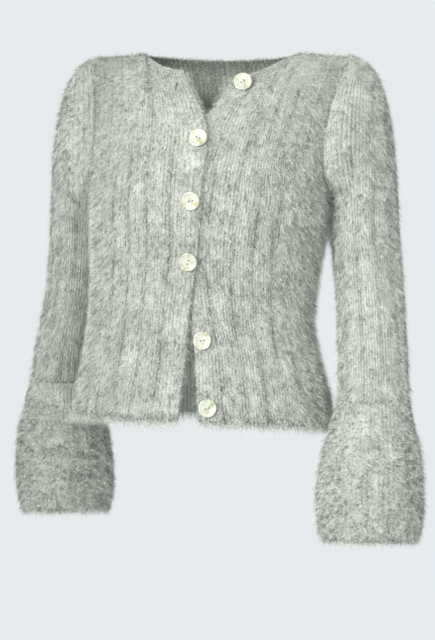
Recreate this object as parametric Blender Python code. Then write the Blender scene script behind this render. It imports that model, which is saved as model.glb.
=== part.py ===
"""Knitted cardigan with a soft nap, hollow and in the pose that it has when it is worn.

Metres, +Z up. The front faces -Y and the wearer's left is +X. The origin is where the wearer's
shoulders carry the garment: the middle of the neck opening, level with the shoulder seams.
Every cloth piece is a wall: a plain inside face and an outside face with raised knitted ribs.
"""

import math

import bmesh
import bpy
import numpy as np
from mathutils import Matrix, Vector

# Cloth
WALL = 0.0028  # knit at the bottom of a groove between ribs
RIB_RISE = 0.0018  # how far a rib stands above the grooves
CUFF_WALL = 0.0042  # the cuff's thicker, napped knit
CUFF_RISE = 0.0016
SEAM_GAP = 0.0003  # between two pieces at a seam
LAP_GAP = 0.0005  # between two layers that lie on each other
CUFF_GAP = 0.0007  # between a sleeve's end and the cuff round it
BUTTON_GAP = 0.0006  # between a button's back and the cloth
ARMHOLE_GAP = 0.0007  # between a sleeve's top and the body
CLOTH_MOST = WALL + RIB_RISE

# Main lines of the body
UNDERARM_Z = -0.186
SHOULDER_Z = -0.001  # inside face of the shoulder seam, at the neck
SHOULDER_DROP = 0.0065  # how much lower the seam is at its outer end
SHOULDER_TILT = 0.003  # and how much lower it is at the wearer's left than in the middle
SHOULDER_Y = 0.012
SHOULDER_HALF = 0.168  # from the middle to the outer end of the shoulder seam
YOKE_HALF = 0.180  # half width of the yoke's own rounded form at the top
NECK_HALF = 0.102  # from the middle to the shoulder seam's neck end
ARMHOLE_BOW = 0.012  # how far the armhole curves in between its two ends
ARMHOLE_REACH = 0.75  # share of a panel's width whose ribs bend in beside the armhole
FRONT_ROUND = 2.0  # exponent of the yoke's rounding over the chest
BACK_ROUND = 2.8  # and over the shoulder blades
BACK_NECK_DIP = 0.005  # how far the back neckline drops at its middle
HEM_Z = -0.4775
HEM_TILT = 0.007  # how much lower the hem is at the wearer's left than in the middle

# Rings of the body, inside face
TORSO_COLUMNS = ("z", "half_width", "front", "back", "centre_x", "squareness")
TORSO = (
    (-0.490, 0.1635, 0.112, 0.112, -0.0255, 2.25),
    (-0.440, 0.1570, 0.107, 0.106, -0.0275, 2.25),
    (-0.400, 0.1490, 0.101, 0.098, -0.0295, 2.20),
    (-0.360, 0.1430, 0.098, 0.091, -0.0300, 2.20),
    (-0.320, 0.1415, 0.100, 0.088, -0.0275, 2.20),
    (-0.255, 0.1450, 0.112, 0.089, -0.0215, 2.20),
    (-0.186, 0.1510, 0.121, 0.092, -0.0155, 2.25),
    (-0.120, 0.1510, 0.121, 0.092, -0.0100, 2.25),
    (-0.060, 0.1510, 0.121, 0.092, -0.0055, 2.25),
    (0.000, 0.1510, 0.121, 0.092, -0.0030, 2.25),
)

# Where each front's free edge runs, across from the middle line of the body
EDGE_COLUMNS = ("z", "right", "left")
FRONT_EDGE = (
    (-0.490, -0.0125, 0.0200),
    (-0.458, -0.0060, 0.0150),
    (-0.420, 0.0000, 0.0145),
    (-0.383, 0.0050, 0.0130),
    (-0.358, 0.0070, 0.0070),
    (-0.321, 0.0090, -0.0040),
    (-0.274, 0.0130, -0.0130),
    (-0.200, 0.0145, -0.0140),
    (-0.150, 0.0155, -0.0110),
    (-0.116, 0.0150, -0.0030),
    (-0.094, 0.0070, 0.0070),
    (-0.074, -0.0060, 0.0170),
    (-0.054, -0.0190, 0.0260),
    (-0.030, -0.0360, 0.0330),
)
CORNER_Z = {"right": -0.0300, "left": -0.0400}  # top corner of each front
LAP_TOP = -0.088  # the right front lies over the left one between these heights
LAP_BOTTOM = -0.362
LAP_FADE = 0.030  # and settles back on the body over this height
LAP_REACH = 0.006  # it is still fully lifted this far past the left front's edge
LAP_SETTLE = 0.050  # and then settles over this width

# Soft flutes of the skirt, from the hem up: angle from the front middle in degrees
FLUTE_COLUMNS = ("angle", "width", "depth", "top_z")
FLUTES = (
    (-72.0, 9.0, 0.0050, -0.33),
    (-48.0, 8.0, 0.0040, -0.35),
    (-27.0, 7.0, 0.0045, -0.36),
    (30.0, 8.0, 0.0040, -0.36),
    (52.0, 9.0, 0.0055, -0.34),
    (74.0, 8.0, 0.0040, -0.35),
    (112.0, 9.0, 0.0050, -0.34),
    (140.0, 10.0, 0.0045, -0.36),
    (172.0, 10.0, 0.0050, -0.35),
    (-157.0, 9.0, 0.0045, -0.36),
    (-133.0, 9.0, 0.0045, -0.34),
)

# Rings of each sleeve below its cap, inside face: lateral half width and fore and aft half depth
ARM_COLUMNS = ("z", "x", "y", "half_width", "half_depth")
ARM = {
    "left": (
        (-0.640, 0.2030, -0.082, 0.0370, 0.0400),
        (-0.560, 0.2015, -0.070, 0.0380, 0.0410),
        (-0.480, 0.2015, -0.050, 0.0395, 0.0425),
        (-0.420, 0.1995, -0.026, 0.0395, 0.0440),
        (-0.340, 0.1920, 0.004, 0.0390, 0.0445),
        (-0.270, 0.1850, 0.020, 0.0390, 0.0465),
        (-0.225, 0.1810, 0.024, 0.0390, 0.0490),
        (-0.180, 0.1790, 0.022, 0.0395, 0.0520),
    ),
    "right": (
        (-0.620, -0.2265, 0.050, 0.0335, 0.0385),
        (-0.570, -0.2305, 0.058, 0.0350, 0.0395),
        (-0.520, -0.2340, 0.065, 0.0360, 0.0405),
        (-0.455, -0.2365, 0.071, 0.0385, 0.0425),
        (-0.375, -0.2285, 0.070, 0.0385, 0.0440),
        (-0.320, -0.2170, 0.068, 0.0380, 0.0450),
        (-0.270, -0.2100, 0.062, 0.0375, 0.0465),
        (-0.225, -0.2050, 0.055, 0.0375, 0.0490),
        (-0.180, -0.2010, 0.045, 0.0380, 0.0520),
    ),
}
BICEPS_Z = -0.225  # where the sleeve's cap has become a plain tube
CAP_TOP_PULL = 0.70  # how strongly the cap keeps its first direction at the shoulder
CAP_UNDER_PULL = 1.60  # and under the arm
CAP_END_PULL = 1.0  # and how strongly it comes into the tube's direction
CAP_TOP_WAY = (1.0, 0.0, -0.06)  # the cap leaves the armhole outwards at the shoulder
CAP_UNDER_WAY = (1.0, 0.0, -0.05)  # and under the arm

# Soft creases of the sleeves: angle round the arm from its outer side towards the front, in degrees
CREASE_COLUMNS = ("angle", "z", "width", "height", "depth")
CREASES = (
    (38.0, -0.290, 13.0, 0.055, 0.0030),
    (75.0, -0.370, 14.0, 0.050, 0.0025),
    (150.0, -0.310, 16.0, 0.035, 0.0035),
    (205.0, -0.340, 18.0, 0.030, 0.0035),
    (285.0, -0.300, 15.0, 0.050, 0.0030),
    (330.0, -0.390, 14.0, 0.045, 0.0025),
)

# Cuffs
CUFF_TOP_Z = {"left": -0.4500, "right": -0.4300}
CUFF_END_Z = {"left": -0.6230, "right": -0.6030}
SLEEVE_LAP = 0.030  # length of sleeve inside the cuff
FLARE_COLUMNS = ("down", "wider", "deeper")
CUFF_FLARE = (
    (0.00, 0.0000, 0.0000),
    (0.17, 0.0030, 0.0030),
    (0.35, 0.0120, 0.0110),
    (0.60, 0.0180, 0.0170),
    (0.85, 0.0180, 0.0170),
    (1.00, 0.0130, 0.0120),
)

# Knit
FRONT_RIBS = 8
BACK_RIBS = 15
SLEEVE_RIBS = 11
CUFF_WAVES = 12
RIB_PROFILE = ((0.0, 0.0), (0.16, 0.85), (0.5, 1.0), (0.84, 0.85))  # place in the rib, height
CUFF_PROFILE = ((0.0, 0.2), (0.25, 0.6), (0.5, 1.0), (0.75, 0.6))
INSIDE_STEPS = (0.0, 0.5)  # places in the rib of the plain inside's points
CUFF_INSIDE_STEPS = (0.0, 0.25, 0.5, 0.75)
SKIRT_ROWS = 10
YOKE_ROWS = 8
CAP_ROWS = 6
ARM_ROWS = 9
CUFF_ROWS = 7
YOKE_SPACING = 1.35  # rows are closer together under the arm

# Buttons
BUTTON_RADIUS = 0.0115
BUTTON_THICK = 0.0030
BUTTON_ROUND = 0.0007  # rounding of the outer rim
BUTTON_RIM = 0.0022  # width of the raised rim
BUTTON_DISH = 0.0009  # how far the middle lies below the rim
BUTTON_SIDES = 24
HOLE_RADIUS = 0.0010
HOLE_SIDES = 8
HOLE_SPACING = 0.0042
LEAN_LIFT = 0.74  # a leaning button is lifted by this share of its lower edge's drop, as the chest curves away
BUTTON_COLUMNS = ("front", "across", "z", "turn", "lean")
# The top button leans out from the sloping chest on its thread, by this many degrees
BUTTONS = (
    ("left", 0.0455, -0.0500, 32.0, 22.0),
    ("right", 0.0030, -0.1215, -20.0, 0.0),
    ("right", 0.0015, -0.1970, 8.0, 0.0),
    ("right", 0.0020, -0.2715, 70.0, 0.0),
    ("left", 0.0235, -0.3725, 5.0, 0.0),
    ("left", 0.0290, -0.4575, 15.0, 0.0),
)

WOOL_COLOUR = (0.50, 0.54, 0.47, 1.0)
NAP_COLOUR = (0.48, 0.51, 0.44, 1.0)
SHELL_COLOUR = (0.80, 0.81, 0.68, 1.0)
SIDES = {"left": 1.0, "right": -1.0}
STEP = 1e-4  # for the slopes of the forms, as a share of their length
QUARTER = math.pi / 2


def columns_of(names, rows):
    """A table's columns by name."""
    return dict(zip(names, np.array(rows, float).T))


TORSO_TABLE = columns_of(TORSO_COLUMNS, TORSO)
EDGE_TABLE = columns_of(EDGE_COLUMNS, FRONT_EDGE)
FLARE_TABLE = columns_of(FLARE_COLUMNS, CUFF_FLARE)
ARM_TABLE = {side: columns_of(ARM_COLUMNS, rows) for side, rows in ARM.items()}


def smooth(table, name, at, key="z"):
    """A column's value at a place along the key column: one cubic between each two rows."""
    keys = table[key]
    values = table[name]
    slopes = np.gradient(values, keys)
    at = np.clip(np.asarray(at, float), keys[0], keys[-1])
    low = np.clip(np.searchsorted(keys, at) - 1, 0, len(keys) - 2)
    span = keys[low + 1] - keys[low]
    t = (at - keys[low]) / span
    start = values[low] * (1 + 2 * t) * (1 - t) ** 2 + slopes[low] * span * t * (1 - t) ** 2
    end = values[low + 1] * t * t * (3 - 2 * t) - slopes[low + 1] * span * t * t * (1 - t)
    return start + end


def ease(low, high, at):
    """From 0 at low to 1 at high, level at both ends."""
    t = np.clip((np.asarray(at, float) - low) / (high - low), 0.0, 1.0)
    return t * t * (3 - 2 * t)


def unit(vectors):
    """The same directions with length 1."""
    return vectors / np.linalg.norm(vectors, axis=-1, keepdims=True)


def oval(angle, half_width, front, back, squareness):
    """Across and fore and aft places on a rounded section, by the angle from the front middle."""
    power = 2.0 / squareness
    across = half_width * np.sign(np.sin(angle)) * np.abs(np.sin(angle)) ** power
    depth = np.where(np.cos(angle) > 0, front, back)
    return across, -depth * np.sign(np.cos(angle)) * np.abs(np.cos(angle)) ** power


def angle_at(across, half_width, squareness):
    """The angle on a section of the point that lies this far across."""
    share = np.clip(np.abs(across) / half_width, 0.0, 1.0)
    return np.sign(across) * np.arcsin(share ** (squareness / 2.0))


def hem_z(angle):
    """Height of the hem at an angle round the body."""
    return HEM_Z - HEM_TILT * np.sin(angle)


def yoke_height(z):
    """Share of the yoke's height at a height."""
    return np.clip((np.asarray(z, float) - UNDERARM_Z) / (SHOULDER_Z - UNDERARM_Z), 0.0, 1.0)


def half_width_at(z):
    """Half width of the body's section at a height, which the yoke makes wider."""
    low = smooth(TORSO_TABLE, "half_width", z)
    return low + (YOKE_HALF - low) * yoke_height(z)


def skirt_point(angle, share):
    """Body below the arms: share runs from 0 at the hem to 1 under the arm."""
    z = hem_z(angle) + (UNDERARM_Z - hem_z(angle)) * share
    sizes = [smooth(TORSO_TABLE, name, z) for name in TORSO_COLUMNS[1:]]
    half_width, front, back, centre_x, squareness = sizes
    x, y = oval(angle, half_width, front, back, squareness)
    return np.stack([x + centre_x, y, z], -1)


def yoke_lift(share, rounding):
    """How high and how deep the yoke is, as shares of its whole, a share of the way up a column."""
    turn = np.clip(share, 0.0, 1.0) * QUARTER
    return np.abs(np.sin(turn)) ** (2 / rounding), np.abs(np.cos(turn)) ** (2 / rounding)


def yoke_share(height, rounding):
    """The share of the way up a column at which it has a share of the yoke's height."""
    return np.arcsin(np.clip(height, 0.0, 1.0) ** (rounding / 2)) / QUARTER


def yoke_point(angle, share):
    """Body above the underarm: share runs from 0 there to 1 on the shoulder seam's line."""
    rounding = np.where(np.cos(angle) > 0, FRONT_ROUND, BACK_ROUND)
    height, depth = yoke_lift(share, rounding)
    low = smooth(TORSO_TABLE, "half_width", UNDERARM_Z)
    front = smooth(TORSO_TABLE, "front", UNDERARM_Z) * depth
    back = smooth(TORSO_TABLE, "back", UNDERARM_Z) * depth
    squareness = smooth(TORSO_TABLE, "squareness", UNDERARM_Z)
    x, y = oval(angle, low + (YOKE_HALF - low) * height, front, back, squareness)
    drop = SHOULDER_DROP * ease(NECK_HALF * 0.6, SHOULDER_HALF, np.abs(x))
    drop = drop + SHOULDER_TILT * x / SHOULDER_HALF
    z = UNDERARM_Z + (SHOULDER_Z - drop - UNDERARM_Z) * height
    return np.stack([x + smooth(TORSO_TABLE, "centre_x", z), y + SHOULDER_Y * height**2, z], -1)


def body_point(angle, level):
    """The body's inside face: level 0 to 1 below the underarm, and 1 to 2 above it."""
    below = skirt_point(angle, np.minimum(level, 1.0))
    above = yoke_point(angle, np.maximum(level - 1.0, 0.0))
    return np.where((level <= 1.0)[..., None], below, above)


def body_normal(angle, level):
    """The body's outward normal. Level is kept off the ends of each half, where its slopes change."""
    away = 4 * STEP
    low = np.clip(level, 0.0, 1.0 - away)
    high = np.clip(level, 1.0 + away, 2.0 - away)
    kept = np.where(level <= 1.0, low, high)
    side = body_point(angle + STEP, kept) - body_point(angle - STEP, kept)
    up = body_point(angle, kept + STEP) - body_point(angle, kept - STEP)
    return unit(np.cross(side, up))


def armhole_angle(height):
    """Angle from the front middle of the front armhole at a share of the yoke's height."""
    low = smooth(TORSO_TABLE, "half_width", UNDERARM_Z)
    across = low + (SHOULDER_HALF - low) * height - ARMHOLE_BOW * 4 * height * (1 - height)
    squareness = smooth(TORSO_TABLE, "squareness", UNDERARM_Z)
    return angle_at(across, low + (YOKE_HALF - low) * height, squareness)


def rib_angle(start, side_angle, across):
    """Angle of a rib that is straight on the skirt and bends in only beside the armhole."""
    near = np.clip((across - 1.0 + ARMHOLE_REACH) / ARMHOLE_REACH, 0.0, 1.0) ** 1.5
    return start + (QUARTER - start) * across - (QUARTER - side_angle) * near


def flute(angle, z):
    """How far the skirt's flutes push the cloth out."""
    total = 0.0 * (angle + z)
    for at, width, depth, top_z in FLUTES:
        away = (np.degrees(angle) - at + 180.0) % 360.0 - 180.0
        total = total + depth * np.exp(-((away / width) ** 2)) * (1 - ease(HEM_Z, top_z, z))
    return total


def neck_share(across, corner_z, corner_across, rounding):
    """Share of the way up at which a column that ends this far across meets the neckline."""
    reach = np.clip((np.abs(across) - corner_across) / (NECK_HALF - corner_across), 0.0, 1.0)
    z = SHOULDER_Z + (corner_z - SHOULDER_Z) * (1 - reach**2)
    return np.where(reach < 1.0, yoke_share(yoke_height(z), rounding), 1.0)


def yoke_top_across(angle):
    """How far across a column with this angle ends, on the shoulder seam's line."""
    squareness = smooth(TORSO_TABLE, "squareness", UNDERARM_Z)
    return YOKE_HALF * np.abs(np.sin(angle)) ** (2 / squareness)


def front_edge_angle(side, z):
    """Angle of a front's free edge at a height."""
    return angle_at(smooth(EDGE_TABLE, side, z), half_width_at(z), smooth(TORSO_TABLE, "squareness", z))


def front_place(side, across, level):
    """Angle and level on the body of a place on a front: across is 0 at its free edge."""
    sign = SIDES[side]
    share = np.maximum(level - 1.0, 0.0)
    corner_z = CORNER_Z[side]
    corner_across = abs(smooth(EDGE_TABLE, side, corner_z))
    corner_share = neck_share(corner_across, corner_z, corner_across, FRONT_ROUND)
    corner_angle = front_edge_angle(side, corner_z) * sign
    column_top = rib_angle(corner_angle, armhole_angle(1.0), across)
    column_share = neck_share(yoke_top_across(column_top), corner_z, corner_across, FRONT_ROUND)
    edge_height = yoke_lift(share * corner_share, FRONT_ROUND)[0]
    skirt_z = HEM_Z + (UNDERARM_Z - HEM_Z) * np.minimum(level, 1.0)
    edge_z = np.where(level <= 1.0, skirt_z, UNDERARM_Z + (SHOULDER_Z - UNDERARM_Z) * edge_height)
    side_angle = np.where(level <= 1.0, QUARTER, armhole_angle(yoke_lift(share, FRONT_ROUND)[0]))
    edge_angle = front_edge_angle(side, edge_z) * sign
    angle = rib_angle(edge_angle, side_angle, across)
    return sign * angle, np.where(level <= 1.0, level, 1.0 + share * column_share)


def lap(side, angle, z):
    """How far the right front is lifted to lie over the left one."""
    if side == "left":
        return 0.0 * (angle + z)
    across = half_width_at(z) * np.sin(angle)
    under = smooth(EDGE_TABLE, "left", z) - LAP_REACH
    close = ease(under - LAP_SETTLE, under, across)
    tall = ease(LAP_BOTTOM - LAP_FADE, LAP_BOTTOM, z) * (1 - ease(LAP_TOP, LAP_TOP + LAP_FADE, z))
    return (CLOTH_MOST + LAP_GAP) * close * tall


def front_form(side):
    """Form of a front: inside point and normal at a place across it and a level."""

    def form(across, level):
        angle, body_level = front_place(side, across, level)
        point = body_point(angle, body_level)
        normal = body_normal(angle, body_level)
        out = flute(angle, point[..., 2]) + lap(side, angle, point[..., 2])
        point = point + normal * out[..., None]
        point[..., 1] -= SEAM_GAP / 2
        return point, normal

    return form


def back_form(across, level):
    """Form of the back: across runs from the wearer's left side to the right one."""
    share = np.maximum(level - 1.0, 0.0)
    aside = 2.0 * np.abs(across - 0.5)
    column_top = math.pi - rib_angle(0.0, armhole_angle(1.0), aside)
    dip_z = SHOULDER_Z - BACK_NECK_DIP
    column_share = neck_share(yoke_top_across(column_top), dip_z, 0.0, BACK_ROUND)
    side_angle = np.where(level <= 1.0, QUARTER, armhole_angle(yoke_lift(share, BACK_ROUND)[0]))
    angle = np.where(across <= 0.5, 1.0, -1.0) * (math.pi - rib_angle(0.0, side_angle, aside))
    body_level = np.where(level <= 1.0, level, 1.0 + share * column_share)
    point = body_point(angle, body_level)
    normal = body_normal(angle, body_level)
    point = point + normal * flute(angle, point[..., 2])[..., None]
    point[..., 1] += SEAM_GAP / 2
    return point, normal


def armhole(side, turn):
    """Point and body normal on the armhole's edge, by the turn from the shoulder towards the front."""
    height = (1 + np.cos(turn)) / 2
    front = np.sin(turn) >= 0
    angle = armhole_angle(height)
    angle = SIDES[side] * np.where(front, angle, math.pi - angle)
    share = yoke_share(height, np.where(front, FRONT_ROUND, BACK_ROUND))
    return yoke_point(angle, share), body_normal(angle, 1.0 + share)


def arm_point(side, turn, z):
    """Inside point of a sleeve's plain tube: turn 0 is its outer side, a quarter turn its front."""
    x, y, half_width, half_depth = (smooth(ARM_TABLE[side], name, z) for name in ARM_COLUMNS[1:])
    x = x + SIDES[side] * half_width * np.cos(turn)
    return np.stack([x, y - half_depth * np.sin(turn), z + 0.0 * turn], -1)


def cap_point(side, turn, share):
    """Inside point of a sleeve's cap, from the armhole to the upper arm."""
    sign = SIDES[side]
    start, body_way = armhole(side, turn)
    clear = ARMHOLE_GAP + CLOTH_MOST * np.clip(sign * body_way[..., 0], 0.0, 1.0)
    start = start + np.stack([sign * clear, 0.0 * clear, 0.0 * clear], -1)
    end = arm_point(side, turn, BICEPS_Z + 0.0 * turn)
    below = arm_point(side, turn, BICEPS_Z - 0.01 + 0.0 * turn)
    upper = ((1 + np.cos(turn)) / 2)[..., None]
    way = upper * np.array(CAP_TOP_WAY) + (1 - upper) * np.array(CAP_UNDER_WAY)
    way = unit(way * np.array((sign, 1.0, 1.0)))
    span = np.linalg.norm(end - start, axis=-1, keepdims=True)
    pull = span * (CAP_UNDER_PULL + (CAP_TOP_PULL - CAP_UNDER_PULL) * upper)
    t = share[..., None]
    first = start * (1 + 2 * t) * (1 - t) ** 2 + way * pull * t * (1 - t) ** 2
    return first + end * t * t * (3 - 2 * t) - unit(below - end) * CAP_END_PULL * span * t * t * (1 - t)


def sleeve_point(side, turn, level):
    """Inside point of a sleeve: level 0 to 1 is its cap and 1 to 2 its tube."""
    cap = cap_point(side, turn, np.minimum(level, 1.0))
    end_z = CUFF_TOP_Z[side] - SLEEVE_LAP
    tube = arm_point(side, turn, BICEPS_Z + (end_z - BICEPS_Z) * np.maximum(level - 1.0, 0.0))
    return np.where((level <= 1.0)[..., None], cap, tube)


def crease(turn, z):
    """How far the sleeve's soft creases sink the cloth."""
    total = 0.0 * (turn + z)
    for at, centre_z, width, height, depth in CREASES:
        away = (np.degrees(turn) - at + 180.0) % 360.0 - 180.0
        total = total + depth * np.exp(-((away / width) ** 2) - ((z - centre_z) / height) ** 2)
    return total


def sleeve_form(side):
    """Form of a sleeve: inside point and normal at a place round it and a level."""

    def form(around, level):
        turn = around * 2 * math.pi
        point = sleeve_point(side, turn, level)
        round_it = sleeve_point(side, turn + STEP, level) - sleeve_point(side, turn - STEP, level)
        along = sleeve_point(side, turn, level + STEP) - sleeve_point(side, turn, level - STEP)
        normal = unit(np.cross(round_it, along)) * SIDES[side]
        return point - normal * crease(turn, point[..., 2])[..., None], normal

    return form


def cuff_form(side):
    """Form of a cuff: inside point and normal at a place round it and a share of the way down."""

    def place(turn, down):
        z = CUFF_TOP_Z[side] + (CUFF_END_Z[side] - CUFF_TOP_Z[side]) * down
        lift = CLOTH_MOST + CUFF_GAP
        wider = lift + smooth(FLARE_TABLE, "wider", down, "down")
        deeper = lift + smooth(FLARE_TABLE, "deeper", down, "down")
        point = arm_point(side, turn, z)
        point[..., 0] += SIDES[side] * wider * np.cos(turn)
        point[..., 1] -= deeper * np.sin(turn)
        return point

    def form(around, down):
        turn = around * 2 * math.pi
        kept = np.clip(down, STEP, 1.0 - STEP)
        round_it = place(turn + STEP, kept) - place(turn - STEP, kept)
        along = place(turn, kept + STEP) - place(turn, kept - STEP)
        return place(turn, down), unit(np.cross(round_it, along)) * SIDES[side]

    return form


def finish(slot, colour, roughness):
    """The plain material of a slot."""
    material = bpy.data.materials.get(slot) or bpy.data.materials.new(slot)
    material.use_nodes = True
    shader = material.node_tree.nodes["Principled BSDF"]
    shader.inputs["Base Color"].default_value = colour
    shader.inputs["Roughness"].default_value = roughness
    material.diffuse_color = colour
    return material


def add_object(name, bm, material):
    """A named object from a bmesh, closed and facing outwards."""
    bmesh.ops.recalc_face_normals(bm, faces=bm.faces)
    mesh = bpy.data.meshes.new(name)
    bm.to_mesh(mesh)
    bm.free()
    mesh.materials.append(material)
    made = bpy.data.objects.new(name, mesh)
    bpy.context.scene.collection.objects.link(made)
    return made


def rib_places(ribs, steps, is_tube):
    """Places across a piece, from 0 to 1, with the same steps in every rib."""
    places = [(rib + step) / ribs for rib in range(ribs) for step in steps]
    return np.array(places if is_tube else places + [1.0])


def grid_points(form, places, levels):
    """Inside points and normals of a form on a grid: one row for each level."""
    across, along = np.meshgrid(places, levels)
    return form(across, along)


def cloth(name, form, ribs, profile, inside_steps, levels, wall, rise, is_tube, material):
    """A cloth wall: ribbed outside, plain inside, and closed along its edges."""
    steps = [step for step, height in profile]
    heights = np.array([height for step, height in profile] * ribs + ([] if is_tube else [0.0]))
    outer_at = rib_places(ribs, steps, is_tube)
    inner_at = rib_places(ribs, inside_steps, is_tube)
    point, normal = grid_points(form, outer_at, levels)
    outside = point + normal * (wall + rise * heights)[None, :, None]
    inside = grid_points(form, inner_at, levels)[0]
    bm = bmesh.new()
    outer = [[bm.verts.new(place) for place in row] for row in outside.tolist()]
    inner = [[bm.verts.new(place) for place in row] for row in inside.tolist()]
    for skin in (outer, inner):
        count = len(skin[0])
        for low, high in zip(skin, skin[1:]):
            for at in range(count if is_tube else count - 1):
                after = (at + 1) % count
                bm.faces.new((low[at], low[after], high[after], high[at]))
    per_step = len(profile) // len(inside_steps)
    for rim_out, rim_in in ((outer[0], inner[0]), (outer[-1], inner[-1])):
        for at in range(ribs * len(inside_steps)):
            many = [rim_out[(at * per_step + step) % len(rim_out)] for step in range(per_step + 1)]
            bm.faces.new(many + [rim_in[(at + 1) % len(rim_in)], rim_in[at]])
    if not is_tube:
        for end in (0, -1):
            for row in range(len(levels) - 1):
                low, high = row, row + 1
                bm.faces.new((outer[low][end], outer[high][end], inner[high][end], inner[low][end]))
    return add_object(name, bm, material)


def body_levels():
    """Levels of the body's rows: even on the skirt, closer under the arm on the yoke."""
    skirt = [row / SKIRT_ROWS for row in range(SKIRT_ROWS + 1)]
    yoke = [1.0 + (row / YOKE_ROWS) ** YOKE_SPACING for row in range(1, YOKE_ROWS + 1)]
    return np.array(skirt + yoke)


def sleeve_levels():
    """Levels of a sleeve's rows: the cap, then the tube."""
    cap = [row / CAP_ROWS for row in range(CAP_ROWS + 1)]
    tube = [1.0 + row / ARM_ROWS for row in range(1, ARM_ROWS + 1)]
    return np.array(cap + tube)


def turned_button():
    """The mesh of a button, turned round its axis with its back at height 0."""
    edge = BUTTON_RADIUS - BUTTON_ROUND
    bowl = BUTTON_RADIUS - BUTTON_RIM
    outline = (
        (0.0, 0.0),
        (edge, 0.0),
        (BUTTON_RADIUS, BUTTON_ROUND),
        (BUTTON_RADIUS, BUTTON_THICK - BUTTON_ROUND),
        (edge, BUTTON_THICK),
        (bowl, BUTTON_THICK - 0.0001),
        (bowl - BUTTON_DISH, BUTTON_THICK - BUTTON_DISH),
        (0.0, BUTTON_THICK - BUTTON_DISH),
    )
    bm = bmesh.new()
    corners = [bm.verts.new((radius, 0.0, height)) for radius, height in outline]
    edges = [bm.edges.new(pair) for pair in zip(corners, corners[1:])]
    axis = {"cent": (0, 0, 0), "axis": (0, 0, 1), "angle": 2 * math.pi, "steps": BUTTON_SIDES}
    bmesh.ops.spin(bm, geom=corners + edges, use_merge=True, **axis)
    bmesh.ops.remove_doubles(bm, verts=bm.verts, dist=1e-6)
    return bm


def drilled_button(material):
    """The button's mesh with its two thread holes cut through."""
    blank = add_object("button_blank", turned_button(), material)
    bm = bmesh.new()
    for sign in (-1, 1):
        made = bmesh.ops.create_cone(
            bm, cap_ends=True, segments=HOLE_SIDES, radius1=HOLE_RADIUS, radius2=HOLE_RADIUS, depth=0.02
        )
        bmesh.ops.translate(bm, verts=made["verts"], vec=(sign * HOLE_SPACING / 2, 0, 0))
    drill = add_object("button_drill", bm, material)
    cut = blank.modifiers.new("holes", "BOOLEAN")
    cut.operation = "DIFFERENCE"
    cut.solver = "EXACT"
    cut.object = drill
    bpy.context.view_layer.update()
    shown = blank.evaluated_get(bpy.context.evaluated_depsgraph_get())
    mesh = bpy.data.meshes.new_from_object(shown)
    bpy.data.objects.remove(blank)
    bpy.data.objects.remove(drill)
    return mesh


def button_seat(side, across, z):
    """Where a button's back rests on a front, and the front's normal there."""
    angle = angle_at(np.array(across), half_width_at(z), smooth(TORSO_TABLE, "squareness", z))
    skirt_level = (z - hem_z(angle)) / (UNDERARM_Z - hem_z(angle))
    level = np.where(z < UNDERARM_Z, skirt_level, 1.0 + yoke_share(yoke_height(z), FRONT_ROUND))
    point = body_point(angle, level)
    normal = body_normal(angle, level)
    out = flute(angle, point[..., 2]) + lap(side, angle, point[..., 2]) + CLOTH_MOST + BUTTON_GAP
    point = point + normal * out[..., None] - np.array((0.0, SEAM_GAP / 2, 0.0))
    return Vector(point), Vector(normal)


def add_buttons(material):
    """The six buttons, each resting on the cloth under it and turned as it hangs."""
    drilled = drilled_button(material)
    for number, (side, across, z, turn, lean) in enumerate(BUTTONS, 1):
        point, normal = button_seat(side, across, z)
        point += normal * LEAN_LIFT * BUTTON_RADIUS * math.sin(math.radians(lean))
        right = Vector((0, 0, 1)).cross(normal).normalized()
        frame = Matrix((right, normal.cross(right), normal)).transposed().to_4x4()
        mesh = drilled.copy()
        mesh.name = f"button_{number}"
        hang = Matrix.Rotation(math.radians(lean), 4, "X") @ Matrix.Rotation(math.radians(turn), 4, "Z")
        mesh.transform(Matrix.Translation(point) @ frame @ hang)
        made = bpy.data.objects.new(mesh.name, mesh)
        bpy.context.scene.collection.objects.link(made)
    bpy.data.meshes.remove(drilled)


def build():
    """All the garment's pieces."""
    for old in list(bpy.data.objects):
        bpy.data.objects.remove(old)
    wool = finish("wool_knit", WOOL_COLOUR, 0.95)
    nap = finish("wool_nap", NAP_COLOUR, 0.95)
    shell = finish("shell", SHELL_COLOUR, 0.25)
    levels = body_levels()
    rows = sleeve_levels()
    down = np.linspace(0.0, 1.0, CUFF_ROWS + 1)
    knit = (RIB_PROFILE, INSIDE_STEPS)
    napped = (CUFF_PROFILE, CUFF_INSIDE_STEPS)
    cloth("back", back_form, BACK_RIBS, *knit, levels, WALL, RIB_RISE, False, wool)
    for side in SIDES:
        front = front_form(side)
        sleeve = sleeve_form(side)
        cuff = cuff_form(side)
        cloth(f"front_{side}", front, FRONT_RIBS, *knit, levels, WALL, RIB_RISE, False, wool)
        cloth(f"sleeve_{side}", sleeve, SLEEVE_RIBS, *knit, rows, WALL, RIB_RISE, True, wool)
        cloth(f"cuff_{side}", cuff, CUFF_WAVES, *napped, down, CUFF_WALL, CUFF_RISE, True, nap)
    add_buttons(shell)


build()
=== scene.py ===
"""Dresses the knitted cardigan: ribbed cloth shells, their soft nap, shell buttons and a plain studio.

Metres, +Z up. The front faces -Y and the garment's own left is +X, as in the part.
"""

import logging
import math
from collections.abc import Callable
from dataclasses import dataclass, field
from enum import Enum

import bmesh
import bpy
import numpy as np
from mathutils import Matrix, Vector


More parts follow.
